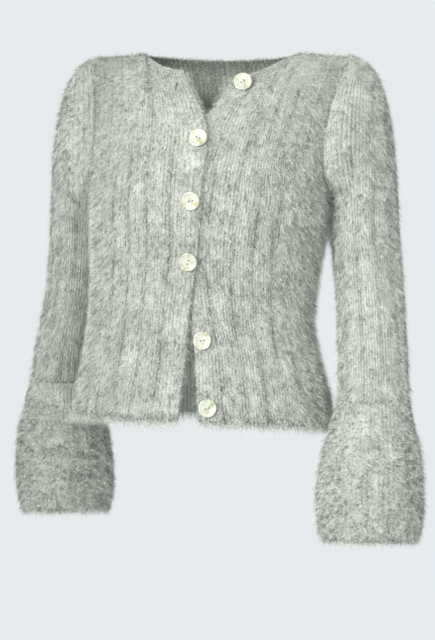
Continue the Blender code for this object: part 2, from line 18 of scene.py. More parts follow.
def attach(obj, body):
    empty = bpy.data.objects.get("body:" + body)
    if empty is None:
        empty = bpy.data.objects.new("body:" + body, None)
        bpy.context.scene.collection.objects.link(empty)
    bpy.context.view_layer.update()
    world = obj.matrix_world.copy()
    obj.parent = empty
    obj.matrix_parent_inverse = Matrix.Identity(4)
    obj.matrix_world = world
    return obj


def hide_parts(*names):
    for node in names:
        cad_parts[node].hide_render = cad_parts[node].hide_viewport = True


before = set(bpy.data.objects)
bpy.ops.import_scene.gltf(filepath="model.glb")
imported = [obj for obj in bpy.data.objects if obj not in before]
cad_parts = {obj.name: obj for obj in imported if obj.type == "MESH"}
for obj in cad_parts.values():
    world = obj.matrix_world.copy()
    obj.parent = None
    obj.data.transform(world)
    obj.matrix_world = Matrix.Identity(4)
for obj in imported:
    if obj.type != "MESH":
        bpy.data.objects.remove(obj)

Array = np.ndarray
Rows = tuple[tuple[float, ...], ...]
Colour = tuple[float, float, float, float]
Chance = np.random.Generator
Material = bpy.types.Material
Socket = bpy.types.NodeSocket

QUARTER = math.pi / 2
TURN = 2 * math.pi
ORIGIN = (0, 0, 0)
DOWN = np.array((0.0, 0.0, -1.0))
STEP = 1e-4
MERGE = 1e-6
LOCKS = 4096
BODY = "root"
log = logging.getLogger("cardigan")


class Side(Enum):
    """The garment's two sides, left and right as it is worn."""

    LEFT = "left"
    RIGHT = "right"

    @property
    def sign(self) -> float:
        """Plus one on the garment's left, minus one on its right."""
        return 1.0 if self is Side.LEFT else -1.0


class Slot(Enum):
    """Material slots of the part's record."""

    KNIT = "wool_knit"
    NAP = "wool_nap"
    SHELL = "shell"


def unit(vectors: Array) -> Array:
    """The same directions with length 1."""
    return vectors / np.maximum(np.linalg.norm(vectors, axis=-1, keepdims=True), 1e-12)


def ease(low: float | Array, high: float | Array, at: Array) -> Array:
    """From 0 at low to 1 at high, level at both ends."""
    t = np.clip((np.asarray(at, float) - low) / (high - low), 0.0, 1.0)
    return t * t * (3 - 2 * t)


def oval(
    angle: Array,
    half_width: Array,
    front: Array,
    back: Array,
    squareness: Array,
) -> tuple[Array, Array]:
    """Across and fore and aft places on a rounded section, by the angle from the front middle.

    Args:
        angle: Angle from the front middle, towards the garment's left.
        half_width: Half width of the section.
        front: Its depth at the front.
        back: Its depth at the back.
        squareness: Exponent of its rounding.

    Returns:
        The places across and fore and aft.
    """
    power = 2.0 / squareness
    across = half_width * np.sign(np.sin(angle)) * np.abs(np.sin(angle)) ** power
    depth = np.where(np.cos(angle) > 0, front, back)
    return across, -depth * np.sign(np.cos(angle)) * np.abs(np.cos(angle)) ** power


def degrees_off(angle: Array, at: float) -> Array:
    """Degrees from a place on a round to each angle, the shorter way."""
    return (np.degrees(angle) - at + 180.0) % 360.0 - 180.0


def angle_at(across: Array, half_width: Array, squareness: Array) -> Array:
    """The angle on a section of the point that lies this far across."""
    share = np.clip(np.abs(across) / half_width, 0.0, 1.0)
    return np.sign(across) * np.arcsin(share ** (squareness / 2.0))


@dataclass(frozen=True)
class SizeTable:
    """A short table of sizes, whose first column is the place that the others belong to."""

    columns: tuple[str, ...]
    rows: Rows

    def column(self, name: str) -> Array:
        """All the values of one column."""
        return np.array([row[self.columns.index(name)] for row in self.rows])

    def all_at(self, place: float | Array) -> list[Array]:
        """The values of all the columns but the first at a place."""
        return [self.at(name, place) for name in self.columns[1:]]

    def at(self, name: str, place: float | Array) -> Array:
        """A column's value at a place, on one cubic between each two rows.

        Args:
            name: The column.
            place: Places along the first column.

        Returns:
            The value at each place.
        """
        keys, values = self.column(self.columns[0]), self.column(name)
        slopes = np.gradient(values, keys)
        place = np.clip(np.asarray(place, float), keys[0], keys[-1])
        low = np.clip(np.searchsorted(keys, place) - 1, 0, len(keys) - 2)
        span = keys[low + 1] - keys[low]
        t = (place - keys[low]) / span
        start = values[low] * (1 + 2 * t) * (1 - t) ** 2 + slopes[low] * span * t * (1 - t) ** 2
        end = values[low + 1] * t * t * (3 - 2 * t) - slopes[low + 1] * span * t * t * (1 - t)
        return start + end


@dataclass(frozen=True)
class Knit:
    """Thickness of the cloth and the small distances between its layers."""

    wall: float = 0.0028
    rib_rise: float = 0.0018
    cuff_wall: float = 0.0042
    cuff_rise: float = 0.0016
    seam_gap: float = 0.0003
    lap_gap: float = 0.0005
    cuff_gap: float = 0.0007
    armhole_gap: float = 0.0007
    button_gap: float = 0.0006

    @property
    def most(self) -> float:
        """Thickness at the top of a rib."""
        return self.wall + self.rib_rise


@dataclass(frozen=True)
class BodyForm:
    """Inside form of the body, from the hem to the shoulder seams."""

    knit: Knit = Knit()
    underarm_z: float = -0.186
    shoulder_z: float = -0.001
    shoulder_drop: float = 0.0065
    drop_start: float = 0.6
    shoulder_tilt: float = 0.003
    shoulder_y: float = 0.012
    shoulder_half: float = 0.168
    yoke_half: float = 0.180
    neck_half: float = 0.102
    armhole_bow: float = 0.012
    armhole_reach: float = 0.75
    armhole_ease: float = 1.5
    front_round: float = 2.0
    back_round: float = 2.8
    back_neck_dip: float = 0.005
    hem_z: float = -0.4775
    hem_tilt: float = 0.007
    lap_top: float = -0.088
    lap_bottom: float = -0.362
    lap_fade: float = 0.030
    lap_reach: float = 0.006
    lap_settle: float = 0.050
    torso: SizeTable = SizeTable(
        ("z", "half_width", "front", "back", "centre_x", "squareness"),
        (
            (-0.490, 0.1635, 0.112, 0.112, -0.0255, 2.25),
            (-0.440, 0.1570, 0.107, 0.106, -0.0275, 2.25),
            (-0.400, 0.1490, 0.101, 0.098, -0.0295, 2.20),
            (-0.360, 0.1430, 0.098, 0.091, -0.0300, 2.20),
            (-0.320, 0.1415, 0.100, 0.088, -0.0275, 2.20),
            (-0.255, 0.1450, 0.112, 0.089, -0.0215, 2.20),
            (-0.186, 0.1510, 0.121, 0.092, -0.0155, 2.25),
            (-0.120, 0.1510, 0.121, 0.092, -0.0100, 2.25),
            (-0.060, 0.1510, 0.121, 0.092, -0.0055, 2.25),
            (0.000, 0.1510, 0.121, 0.092, -0.0030, 2.25),
        ),
    )
    front_edge: SizeTable = SizeTable(
        ("z", "right", "left"),
        (
            (-0.490, -0.0125, 0.0200),
            (-0.458, -0.0060, 0.0150),
            (-0.420, 0.0000, 0.0145),
            (-0.383, 0.0050, 0.0130),
            (-0.358, 0.0070, 0.0070),
            (-0.321, 0.0090, -0.0040),
            (-0.274, 0.0130, -0.0130),
            (-0.200, 0.0145, -0.0140),
            (-0.150, 0.0155, -0.0110),
            (-0.116, 0.0150, -0.0030),
            (-0.094, 0.0070, 0.0070),
            (-0.074, -0.0060, 0.0170),
            (-0.054, -0.0190, 0.0260),
            (-0.030, -0.0360, 0.0330),
        ),
    )
    corner: SizeTable = SizeTable(("sign", "z"), ((-1.0, -0.0300), (1.0, -0.0400)))
    flutes: SizeTable = SizeTable(
        ("angle", "width", "depth", "top_z"),
        (
            (-72.0, 9.0, 0.0050, -0.33),
            (-48.0, 8.0, 0.0040, -0.35),
            (-27.0, 7.0, 0.0045, -0.36),
            (30.0, 8.0, 0.0040, -0.36),
            (52.0, 9.0, 0.0055, -0.34),
            (74.0, 8.0, 0.0040, -0.35),
            (112.0, 9.0, 0.0050, -0.34),
            (140.0, 10.0, 0.0045, -0.36),
            (172.0, 10.0, 0.0050, -0.35),
            (-157.0, 9.0, 0.0045, -0.36),
            (-133.0, 9.0, 0.0045, -0.34),
        ),
    )

    def hem_at(self, angle: Array) -> Array:
        """Height of the hem at an angle round the body."""
        return self.hem_z - self.hem_tilt * np.sin(angle)

    def yoke_height(self, z: float | Array) -> Array:
        """Share of the yoke's height at a height."""
        share = (np.asarray(z, float) - self.underarm_z) / (self.shoulder_z - self.underarm_z)
        return np.clip(share, 0.0, 1.0)

    def half_width(self, z: float | Array) -> Array:
        """Half width of the body's section at a height, which the yoke makes wider."""
        low = self.torso.at("half_width", z)
        return low + (self.yoke_half - low) * self.yoke_height(z)

    def skirt_point(self, angle: Array, share: Array) -> Array:
        """Body below the arms: share runs from 0 at the hem to 1 under the arm.

        Args:
            angle: Angles round the body.
            share: Shares of the way up from the hem.

        Returns:
            The points.
        """
        z = self.hem_at(angle) + (self.underarm_z - self.hem_at(angle)) * share
        half_width, front, back, centre_x, squareness = self.torso.all_at(z)
        x, y = oval(angle, half_width, front, back, squareness)
        return np.stack([x + centre_x, y, z], -1)

    def yoke_lift(self, share: Array, rounding: float | Array) -> tuple[Array, Array]:
        """How high and how deep the yoke is, as shares of its whole, a share of the way up a column."""
        turn = np.clip(share, 0.0, 1.0) * QUARTER
        return np.abs(np.sin(turn)) ** (2 / rounding), np.abs(np.cos(turn)) ** (2 / rounding)

    def yoke_share(self, height: Array, rounding: float | Array) -> Array:
        """The share of the way up a column at which it has a share of the yoke's height."""
        return np.arcsin(np.clip(height, 0.0, 1.0) ** (rounding / 2)) / QUARTER

    def yoke_point(self, angle: Array, share: Array) -> Array:
        """Body above the underarm: share runs from 0 there to 1 on the shoulder seam's line.

        Args:
            angle: Angles round the body.
            share: Shares of the way up a column.

        Returns:
            The points.
        """
        rounding = np.where(np.cos(angle) > 0, self.front_round, self.back_round)
        height, depth = self.yoke_lift(share, rounding)
        low, front, back, _, squareness = self.torso.all_at(self.underarm_z)
        x, y = oval(angle, low + (self.yoke_half - low) * height, front * depth, back * depth, squareness)
        drop = self.shoulder_drop * ease(self.neck_half * self.drop_start, self.shoulder_half, np.abs(x))
        drop = drop + self.shoulder_tilt * x / self.shoulder_half
        z = self.underarm_z + (self.shoulder_z - drop - self.underarm_z) * height
        return np.stack([x + self.torso.at("centre_x", z), y + self.shoulder_y * height**2, z], -1)

    def point(self, angle: Array, level: Array) -> Array:
        """The inside face: level 0 to 1 below the underarm, and 1 to 2 above it.

        Args:
            angle: Angles round the body.
            level: Levels along the piece.

        Returns:
            The points.
        """
        below = self.skirt_point(angle, np.minimum(level, 1.0))
        above = self.yoke_point(angle, np.maximum(level - 1.0, 0.0))
        return np.where((level <= 1.0)[..., None], below, above)

    def normal(self, angle: Array, level: Array) -> Array:
        """The outward normal. Level is kept off the ends of each half, where its slopes change.

        Args:
            angle: Angles round the body.
            level: Levels along the piece.

        Returns:
            The normals.
        """
        away = 4 * STEP
        low, high = np.clip(level, 0.0, 1.0 - away), np.clip(level, 1.0 + away, 2.0 - away)
        kept = np.where(level <= 1.0, low, high)
        side = self.point(angle + STEP, kept) - self.point(angle - STEP, kept)
        up = self.point(angle, kept + STEP) - self.point(angle, kept - STEP)
        return unit(np.cross(side, up))

    def armhole_angle(self, height: float | Array) -> Array:
        """Angle from the front middle of the front armhole at a share of the yoke's height.

        Args:
            height: Shares of the yoke's height.

        Returns:
            The angles.
        """
        low = self.torso.at("half_width", self.underarm_z)
        across = low + (self.shoulder_half - low) * height - self.armhole_bow * 4 * height * (1 - height)
        squareness = self.torso.at("squareness", self.underarm_z)
        return angle_at(across, low + (self.yoke_half - low) * height, squareness)

    def rib_angle(self, start: Array, side_angle: Array, across: Array) -> Array:
        """Angle of a rib that is straight on the skirt and bends in only beside the armhole.

        Args:
            start: Angle of the first rib.
            side_angle: Angle of the side edge.
            across: Places across the piece.

        Returns:
            The angles.
        """
        reach = self.armhole_reach
        near = np.clip((across - 1.0 + reach) / reach, 0.0, 1.0) ** self.armhole_ease
        return start + (QUARTER - start) * across - (QUARTER - side_angle) * near

    def flute(self, angle: Array, z: Array) -> Array:
        """How far the skirt's flutes push the cloth out.

        Args:
            angle: Angles round the body.
            z: Heights.

        Returns:
            The distances.
        """
        total = 0.0 * (angle + z)
        for at, width, depth, top_z in self.flutes.rows:
            away = degrees_off(angle, at)
            total = total + depth * np.exp(-((away / width) ** 2)) * (1 - ease(self.hem_z, top_z, z))
        return total

    def neck_share(self, across: Array, corner_z: float, corner_across: float, rounding: float) -> Array:
        """Share of the way up at which a column that ends this far across meets the neckline.

        Args:
            across: How far across the columns end.
            corner_z: Height of the neckline's corner.
            corner_across: How far across the corner is.
            rounding: Rounding of the yoke.

        Returns:
            The shares.
        """
        reach = np.clip((np.abs(across) - corner_across) / (self.neck_half - corner_across), 0.0, 1.0)
        z = self.shoulder_z + (corner_z - self.shoulder_z) * (1 - reach**2)
        return np.where(reach < 1.0, self.yoke_share(self.yoke_height(z), rounding), 1.0)

    def yoke_top_across(self, angle: Array) -> Array:
        """How far across a column with this angle ends, on the shoulder seam's line."""
        squareness = self.torso.at("squareness", self.underarm_z)
        return self.yoke_half * np.abs(np.sin(angle)) ** (2 / squareness)

    def edge_angle(self, side: Side, z: float | Array) -> Array:
        """Angle of a front's free edge at a height."""
        across, squareness = self.front_edge.at(side.value, z), self.torso.at("squareness", z)
        return angle_at(across, self.half_width(z), squareness)

    def lap(self, side: Side, angle: Array, z: Array) -> Array:
        """How far the right front is lifted to lie over the left one.

        Args:
            side: The garment's side.
            angle: Angles round the body.
            z: Heights.

        Returns:
            The distances.
        """
        if side is Side.LEFT:
            return 0.0 * (angle + z)
        across = self.half_width(z) * np.sin(angle)
        under = self.front_edge.at("left", z) - self.lap_reach
        close = ease(under - self.lap_settle, under, across)
        low = ease(self.lap_bottom - self.lap_fade, self.lap_bottom, z)
        tall = low * (1 - ease(self.lap_top, self.lap_top + self.lap_fade, z))
        return (self.knit.most + self.knit.lap_gap) * close * tall

    def seat(self, side: Side, across: float, z: float) -> tuple[Array, Array]:
        """Where something small rests on a front, and the front's normal there.

        Args:
            side: The front.
            across: Place across, from the middle line of the body.
            z: Height.

        Returns:
            The point on the ribs' tops and the outward normal.
        """
        angle = angle_at(np.array(across), self.half_width(z), self.torso.at("squareness", z))
        skirt_level = (z - self.hem_at(angle)) / (self.underarm_z - self.hem_at(angle))
        yoke_level = 1.0 + self.yoke_share(self.yoke_height(z), self.front_round)
        level = np.where(z < self.underarm_z, skirt_level, yoke_level)
        point, normal = self.point(angle, level), self.normal(angle, level)
        out = self.flute(angle, point[..., 2]) + self.lap(side, angle, point[..., 2]) + self.knit.most
        return point + normal * out[..., None] - np.array((0.0, self.knit.seam_gap / 2, 0.0)), normal

    def seat_frame(self, side: Side, across: float, z: float, lift: float) -> Matrix:
        """From axes whose Z points out of the cloth to a place on a front.

        Args:
            side: The front.
            across: Place across, from the middle line of the body.
            z: Height.
            lift: How far off the ribs' tops the origin of the axes lies.

        Returns:
            The matrix that takes a small piece there.
        """
        point, normal = self.seat(side, across, z)
        normal = Vector(normal)
        right = Vector((0, 0, 1)).cross(normal).normalized()
        turned = Matrix((right, normal.cross(right), normal)).transposed().to_4x4()
        return Matrix.Translation(Vector(point) + normal * lift) @ turned


@dataclass(frozen=True)
class ArmForm:
    """Inside form of one sleeve and of the cuff round its end."""

    side: Side
    rings: SizeTable
    cuff_top_z: float
    cuff_end_z: float
    body: BodyForm = BodyForm()
    biceps_z: float = -0.225
    top_pull: float = 0.70
    under_pull: float = 1.60
    end_pull: float = 1.0
    top_way: tuple[float, float, float] = (1.0, 0.0, -0.06)
    under_way: tuple[float, float, float] = (1.0, 0.0, -0.05)
    lap: float = 0.030
    creases: SizeTable = SizeTable(
        ("angle", "z", "width", "height", "depth"),
        (
            (38.0, -0.290, 13.0, 0.055, 0.0030),
            (75.0, -0.370, 14.0, 0.050, 0.0025),
            (150.0, -0.310, 16.0, 0.035, 0.0035),
            (205.0, -0.340, 18.0, 0.030, 0.0035),
            (285.0, -0.300, 15.0, 0.050, 0.0030),
            (330.0, -0.390, 14.0, 0.045, 0.0025),
        ),
    )
    flare: SizeTable = SizeTable(
        ("down", "wider", "deeper"),
        (
            (0.00, 0.0000, 0.0000),
            (0.17, 0.0030, 0.0030),
            (0.35, 0.0120, 0.0110),
            (0.60, 0.0180, 0.0170),
            (0.85, 0.0180, 0.0170),
            (1.00, 0.0130, 0.0120),
        ),
    )

    def armhole(self, turn: Array) -> tuple[Array, Array]:
        """Point and body normal on the armhole's edge, by the turn from the shoulder towards the front.

        Args:
            turn: Turns round the arm.

        Returns:
            The points and the normals.
        """
        height = (1 + np.cos(turn)) / 2
        front = np.sin(turn) >= 0
        angle = self.body.armhole_angle(height)
        angle = self.side.sign * np.where(front, angle, math.pi - angle)
        share = self.body.yoke_share(height, np.where(front, self.body.front_round, self.body.back_round))
        return self.body.yoke_point(angle, share), self.body.normal(angle, 1.0 + share)

    def tube_point(self, turn: Array, z: Array) -> Array:
        """Inside point of the plain tube: turn 0 is its outer side, a quarter turn its front.

        Args:
            turn: Turns round the arm.
            z: Heights.

        Returns:
            The points.
        """
        x, y, half_width, half_depth = self.rings.all_at(z)
        x = x + self.side.sign * half_width * np.cos(turn)
        return np.stack([x, y - half_depth * np.sin(turn), z + 0.0 * turn], -1)

    def cap_point(self, turn: Array, share: Array) -> Array:
        """Inside point of the cap, from the armhole to the upper arm.

        Args:
            turn: Turns round the arm.
            share: Shares of the way from the armhole.

        Returns:
            The points.
        """
        sign = self.side.sign
        start, body_way = self.armhole(turn)
        knit = self.body.knit
        clear = knit.armhole_gap + knit.most * np.clip(sign * body_way[..., 0], 0.0, 1.0)
        start = start + np.stack([sign * clear, 0.0 * clear, 0.0 * clear], -1)
        end = self.tube_point(turn, self.biceps_z + 0.0 * turn)
        below = self.tube_point(turn, self.biceps_z - 0.01 + 0.0 * turn)
        upper = ((1 + np.cos(turn)) / 2)[..., None]
        way = upper * np.array(self.top_way) + (1 - upper) * np.array(self.under_way)
        way = unit(way * np.array((sign, 1.0, 1.0)))
        span = np.linalg.norm(end - start, axis=-1, keepdims=True)
        pull = span * (self.under_pull + (self.top_pull - self.under_pull) * upper)
        t = share[..., None]
        first = start * (1 + 2 * t) * (1 - t) ** 2 + way * pull * t * (1 - t) ** 2
        last = end * t * t * (3 - 2 * t) - unit(below - end) * self.end_pull * span * t * t * (1 - t)
        return first + last

    def tube_normal(self, place: Callable[[Array, Array], Array], turn: Array, level: Array) -> Array:
        """Outward normal of a tube, from small steps round it and along it.

        Args:
            place: Gives the tube's points by their turns and levels.
            turn: Turns round the arm.
            level: Levels along the tube.

        Returns:
            The normals.
        """
        round_it = place(turn + STEP, level) - place(turn - STEP, level)
        along = place(turn, level + STEP) - place(turn, level - STEP)
        return unit(np.cross(round_it, along)) * self.side.sign

    def sleeve_point(self, turn: Array, level: Array) -> Array:
        """Inside point of the sleeve: level 0 to 1 is its cap and 1 to 2 its tube.

        Args:
            turn: Turns round the arm.
            level: Levels along the piece.

        Returns:
            The points.
        """
        cap = self.cap_point(turn, np.minimum(level, 1.0))
        end_z = self.cuff_top_z - self.lap
        tube_z = self.biceps_z + (end_z - self.biceps_z) * np.maximum(level - 1.0, 0.0)
        tube = self.tube_point(turn, tube_z)
        return np.where((level <= 1.0)[..., None], cap, tube)

    def crease(self, turn: Array, z: Array) -> Array:
        """How far the soft creases sink the cloth.

        Args:
            turn: Turns round the arm.
            z: Heights.

        Returns:
            The distances.
        """
        total = 0.0 * (turn + z)
        for at, centre_z, width, height, depth in self.creases.rows:
            away = degrees_off(turn, at)
            total = total + depth * np.exp(-((away / width) ** 2) - ((z - centre_z) / height) ** 2)
        return total

    def cuff_point(self, turn: Array, down: Array) -> Array:
        """Inside point of the cuff, a share of the way down it.

        Args:
            turn: Turns round the arm.
            down: Shares of the way down.

        Returns:
            The points.
        """
        z = self.cuff_top_z + (self.cuff_end_z - self.cuff_top_z) * down
        lift = self.body.knit.most + self.body.knit.cuff_gap
        point = self.tube_point(turn, z)
        point[..., 0] += self.side.sign * (lift + self.flare.at("wider", down)) * np.cos(turn)
        point[..., 1] -= (lift + self.flare.at("deeper", down)) * np.sin(turn)
        return point


class NodeBoard:
    """A material's node tree, filled a node at a time."""

    def __init__(self, name: str) -> None:
        """An empty material with this name.

        Args:
            name: Name of the material.
        """
        self.material = bpy.data.materials.new(name)
        self.material.use_nodes = True
        self.tree = self.material.node_tree
        self.shader = self.tree.nodes["Principled BSDF"]
        self.place = self.add("TexCoord").outputs["Object"]

    def add(self, kind: str, settings: dict | None = None, **inputs: object) -> bpy.types.Node:
        """A new node.

        Args:
            kind: Its type, without the words ShaderNode.
            settings: Its own properties.
            inputs: Values or sockets for its inputs; an underscore stands for a space.

        Returns:
            The node.
        """
        node = self.tree.nodes.new("ShaderNode" + kind)
        for name, value in (settings or {}).items():
            setattr(node, name, value)
        for name, value in inputs.items():
            self.plug(value, node.inputs[name.replace("_", " ")])
        return node

    def plug(self, value: object, socket: Socket) -> None:
        """Links a socket to an input, or sets the input's own value.

        Args:
            value: A socket, number or colour.
            socket: The input.
        """
        if isinstance(value, Socket):
            self.tree.links.new(value, socket)
        else:
            socket.default_value = value

    def sum(self, kind: str, first: object, second: object) -> Socket:
        """The result of a sum with two numbers.

        Args:
            kind: The operation.
            first: A number or socket.
            second: Another.

        Returns:
            The socket of the result.
        """
        node = self.add("Math", {"operation": kind})
        self.plug(first, node.inputs[0])
        self.plug(second, node.inputs[1])
        return node.outputs[0]

    def plus(self, first: object, second: object, weight: float) -> Socket:
        """A number and a weighted second one together."""
        return self.sum("ADD", first, self.sum("MULTIPLY", second, weight))

    def vary(self, tone: object, noise: Socket, weight: float) -> Socket:
        """A tone made lighter and darker by noise round its middle."""
        return self.plus(tone, self.sum("SUBTRACT", noise, 0.5), weight)

    def noise(self, scale: float, detail: float) -> Socket:
        """Soft cloudy values from 0 to 1 over the piece."""
        return self.add("TexNoise", Vector=self.place, Scale=scale, Detail=detail).outputs["Fac"]

    def ramp(self, value: Socket, *stops: tuple[float, Colour]) -> Socket:
        """Colours along a value.

        Args:
            value: The value.
            stops: Places along it with their colours.

        Returns:
            The socket of the colour.
        """
        node = self.add("ValToRGB", Fac=value)
        bar = node.color_ramp.elements
        while len(bar) < len(stops):
            bar.new(0.5)
        for element, (place, colour) in zip(bar, stops):
            element.position, element.color = place, colour
        return node.outputs["Color"]

    def finish(self, **inputs: object) -> Material:
        """Sets the shader's inputs and gives the material.

        Args:
            inputs: Values or sockets; an underscore stands for a space.

        Returns:
            The material.
        """
        for name, value in inputs.items():
            self.plug(value, self.shader.inputs[name.replace("_", " ")])
        return self.material


@dataclass(frozen=True)
class RibbedKnit:
    """Heathered wool knit: fine stitches in columns, with painted shade in the grooves between ribs."""

    name: str
    # deep is the lowest tone, reached by random flecks and by the painted shade of the grooves
    deep: Colour = (0.130, 0.144, 0.124, 1.0)
    mid: Colour = (0.460, 0.482, 0.421, 1.0)
    pale: Colour = (0.780, 0.790, 0.706, 1.0)
    wale: float = 0.0044
    course: float = 0.0034
    stitch: float = 0.10
    # groove: how much painted shade darkens the shell in the grooves between ribs
    groove: float = 0.16
    slant: float = 1.3
    leg_depth: float = 0.22
    fleck_scale: float = 620.0
    fleck_tone: float = 0.65
    fleck_bump: float = 0.9
    cloud_scale: float = 38.0
    cloud_tone: float = 0.45
    stops: tuple[float, ...] = (0.22, 0.52, 0.80)

    def make(self) -> Material:
        """The material of a cloth shell.

        Returns:
            The material.
        """
        board = NodeBoard(self.name)
        knit = board.add("SeparateXYZ", Vector=board.add("UVMap", {"uv_map": "knit"}).outputs["UV"])
        groove = board.add("Attribute", {"attribute_name": "groove"}).outputs["Fac"]
        column = board.sum("FRACT", board.sum("DIVIDE", knit.outputs["X"], self.wale), 0.0)
        aside = board.sum("ABSOLUTE", board.sum("SUBTRACT", column, 0.5), 0.0)
        course = board.sum("DIVIDE", knit.outputs["Y"], self.course)
        slant = board.plus(course, aside, self.slant)
        leg = board.sum("SINE", board.sum("MULTIPLY", slant, TURN), 0.0)
        gutter = board.sum("POWER", board.sum("MULTIPLY", aside, 2.0), 3.0)
        stitch = board.sum("SUBTRACT", board.sum("MULTIPLY", leg, self.leg_depth), gutter)
        flecks = board.noise(self.fleck_scale, 3.0)
        cloud = board.noise(self.cloud_scale, 3.0)
        tone = board.plus(board.sum("MULTIPLY", flecks, self.fleck_tone), cloud, self.cloud_tone)
        tone = board.plus(tone, stitch, self.stitch)
        # painted shade: darker where the groove attribute says the cloth sinks between ribs
        tone = board.sum("SUBTRACT", tone, board.sum("MULTIPLY", groove, self.groove))
        colour = board.ramp(tone, *zip(self.stops, (self.deep, self.mid, self.pale)))
        height = board.plus(stitch, flecks, self.fleck_bump)
        bump = board.add("Bump", Strength=0.75, Distance=0.0011, Height=height)
        return board.finish(
            Base_Color=colour,
            Roughness=0.92,
            Sheen_Weight=0.35,
            Sheen_Roughness=0.45,
            Sheen_Tint=(0.95, 1.0, 0.90, 1.0),
            Normal=bump.outputs["Normal"],
        )


@dataclass(frozen=True)
class SoftNap:
    """Fine long fibres: deep at the root, where the shade among the fibres is painted, silvery at the tip,
    each a little lighter or darker.
    """

    name: str
    # root is the deepest tone: for the painted shade at the roots and in the grooves, and for dark locks
    root: Colour = (0.105, 0.118, 0.104, 1.0)
    mid: Colour = (0.640, 0.662, 0.585, 1.0)
    tip: Colour = (0.930, 0.928, 0.854, 1.0)
    cloud: float = 0.35
    cloud_scale: float = 45.0
    heather: float = 2.4
    fleck_scale: float = 400.0
    stops: tuple[float, ...] = (0.10, 0.52, 0.98)

    def make(self) -> Material:
        """The material of the fibres.

        Returns:
            The material.
        """
        board = NodeBoard(self.name)
        shade = board.add("Attribute", {"attribute_name": "shade"}).outputs["Fac"]
        tone = board.vary(shade, board.noise(self.cloud_scale, 3.0), self.cloud)
        tone = board.vary(tone, board.noise(self.fleck_scale, 1.0), self.heather)
        colour = board.ramp(tone, *zip(self.stops, (self.root, self.mid, self.tip)))
        return board.finish(
            Base_Color=colour,
            Roughness=0.70,
            Sheen_Weight=0.25,
            Sheen_Roughness=0.40,
            Sheen_Tint=(0.95, 1.0, 0.90, 1.0),
        )


@dataclass(frozen=True)
class PearlShell:
    """Polished shell: cream and white, clouded with yellow green in soft bands."""

    name: str = "button_shell"
    white: Colour = (0.58, 0.59, 0.50, 1.0)
    cream: Colour = (0.51, 0.51, 0.38, 1.0)
    olive: Colour = (0.37, 0.38, 0.20, 1.0)
    band_scale: float = 75.0
    grain_scale: float = 900.0
    grain: float = 0.12
    stops: tuple[float, ...] = (0.34, 0.44, 0.54, 0.66)

    def make(self) -> Material:
        """The material of the buttons.

        Returns:
            The material.
        """
        board = NodeBoard(self.name)
        bands = board.add("TexNoise", Vector=board.place, Scale=self.band_scale, Detail=2.0, Distortion=1.4)
        grain = board.noise(self.grain_scale, 2.0)
        tone = board.vary(bands.outputs["Fac"], grain, self.grain)
        colour = board.ramp(tone, *zip(self.stops, (self.olive, self.cream, self.white, self.cream)))
        rough = board.sum("ADD", board.sum("MULTIPLY", grain, 0.16), 0.14)
        bump = board.add("Bump", Strength=0.15, Distance=0.0003, Height=tone)
        return board.finish(
            Base_Color=colour,
            Roughness=rough,
            Coat_Weight=0.6,
            Coat_Roughness=0.12,
            Sheen_Weight=0.1,
            Normal=bump.outputs["Normal"],
        )


@dataclass(frozen=True)
class TwistedThread:
    """Sewing thread with a fine twist."""

    name: str
    deep: Colour
    pale: Colour
    twist: float = 2600.0

    def make(self) -> Material:
        """The material of thread.

        Returns:
            The material.
        """
        board = NodeBoard(self.name)
        slanted = {"bands_direction": "DIAGONAL"}
        twist = board.add("TexWave", slanted, Vector=board.place, Scale=self.twist, Distortion=1.5)
        colour = board.ramp(twist.outputs["Fac"], (0.2, self.deep), (0.8, self.pale))
        bump = board.add("Bump", Strength=0.5, Distance=0.0002, Height=twist.outputs["Fac"])
        return board.finish(
            Base_Color=colour,
            Roughness=0.8,
            Sheen_Weight=0.3,
            Normal=bump.outputs["Normal"],
        )


@dataclass(frozen=True)
class PalePaper:
    """Matt studio floor with the faintest mottling."""

    name: str = "studio_floor"
    deep: Colour = (0.74, 0.76, 0.77, 1.0)
    pale: Colour = (0.80, 0.82, 0.83, 1.0)

    def make(self) -> Material:
        """The material of the floor.

        Returns:
            The material.
        """
        board = NodeBoard(self.name)
        cloud = board.noise(1.5, 3.0)
        colour = board.ramp(cloud, (0.3, self.deep), (0.7, self.pale))
        return board.finish(Base_Color=colour, Roughness=0.9)


def link(name: str, data: bpy.types.ID) -> bpy.types.Object:
    """A new object of the scene, at the origin, with this mesh, lamp or lens.

    Args:
        name: Name of the object.
        data: What it shows.

    Returns:
        The object.
    """
    made = bpy.data.objects.new(name, data)
    bpy.context.scene.collection.objects.link(made)
    return made


def add_object(
    name: str,
    bm: bmesh.types.BMesh,
    material: Material,
    smooth: bool = True,
) -> bpy.types.Object:
    """A named object at the origin from a bmesh.

    Args:
        name: Name of the object and its mesh.
        bm: The shape, which is freed.
        material: Its finish.
        smooth: Whether its faces are shaded smooth.

    Returns:
        The object.
    """
    mesh = bpy.data.meshes.new(name)
    bm.to_mesh(mesh)
    bm.free()
    mesh.materials.append(material)
    mesh.polygons.foreach_set("use_smooth", np.full(len(mesh.polygons), smooth))
    return link(name, mesh)


@dataclass(frozen=True)
class Lay:
    """How the fibres of one kind of place stand and droop, and how light they are."""

    lift_spread: float
    bend: float
    droop: float
    shade: float
    shade_spread: float
    shade_range: tuple[float, float] = (0.06, 1.15)
    lift: float = 1.0
    lift_range: tuple[float, float] = (0.15, 2.2)
    comb: float = 0.75

    def bends(self, count: int, chance: Chance) -> Array:
        """Random bends that droop."""
        return chance.normal(0.0, self.bend, (count, 3)) + DOWN * self.droop


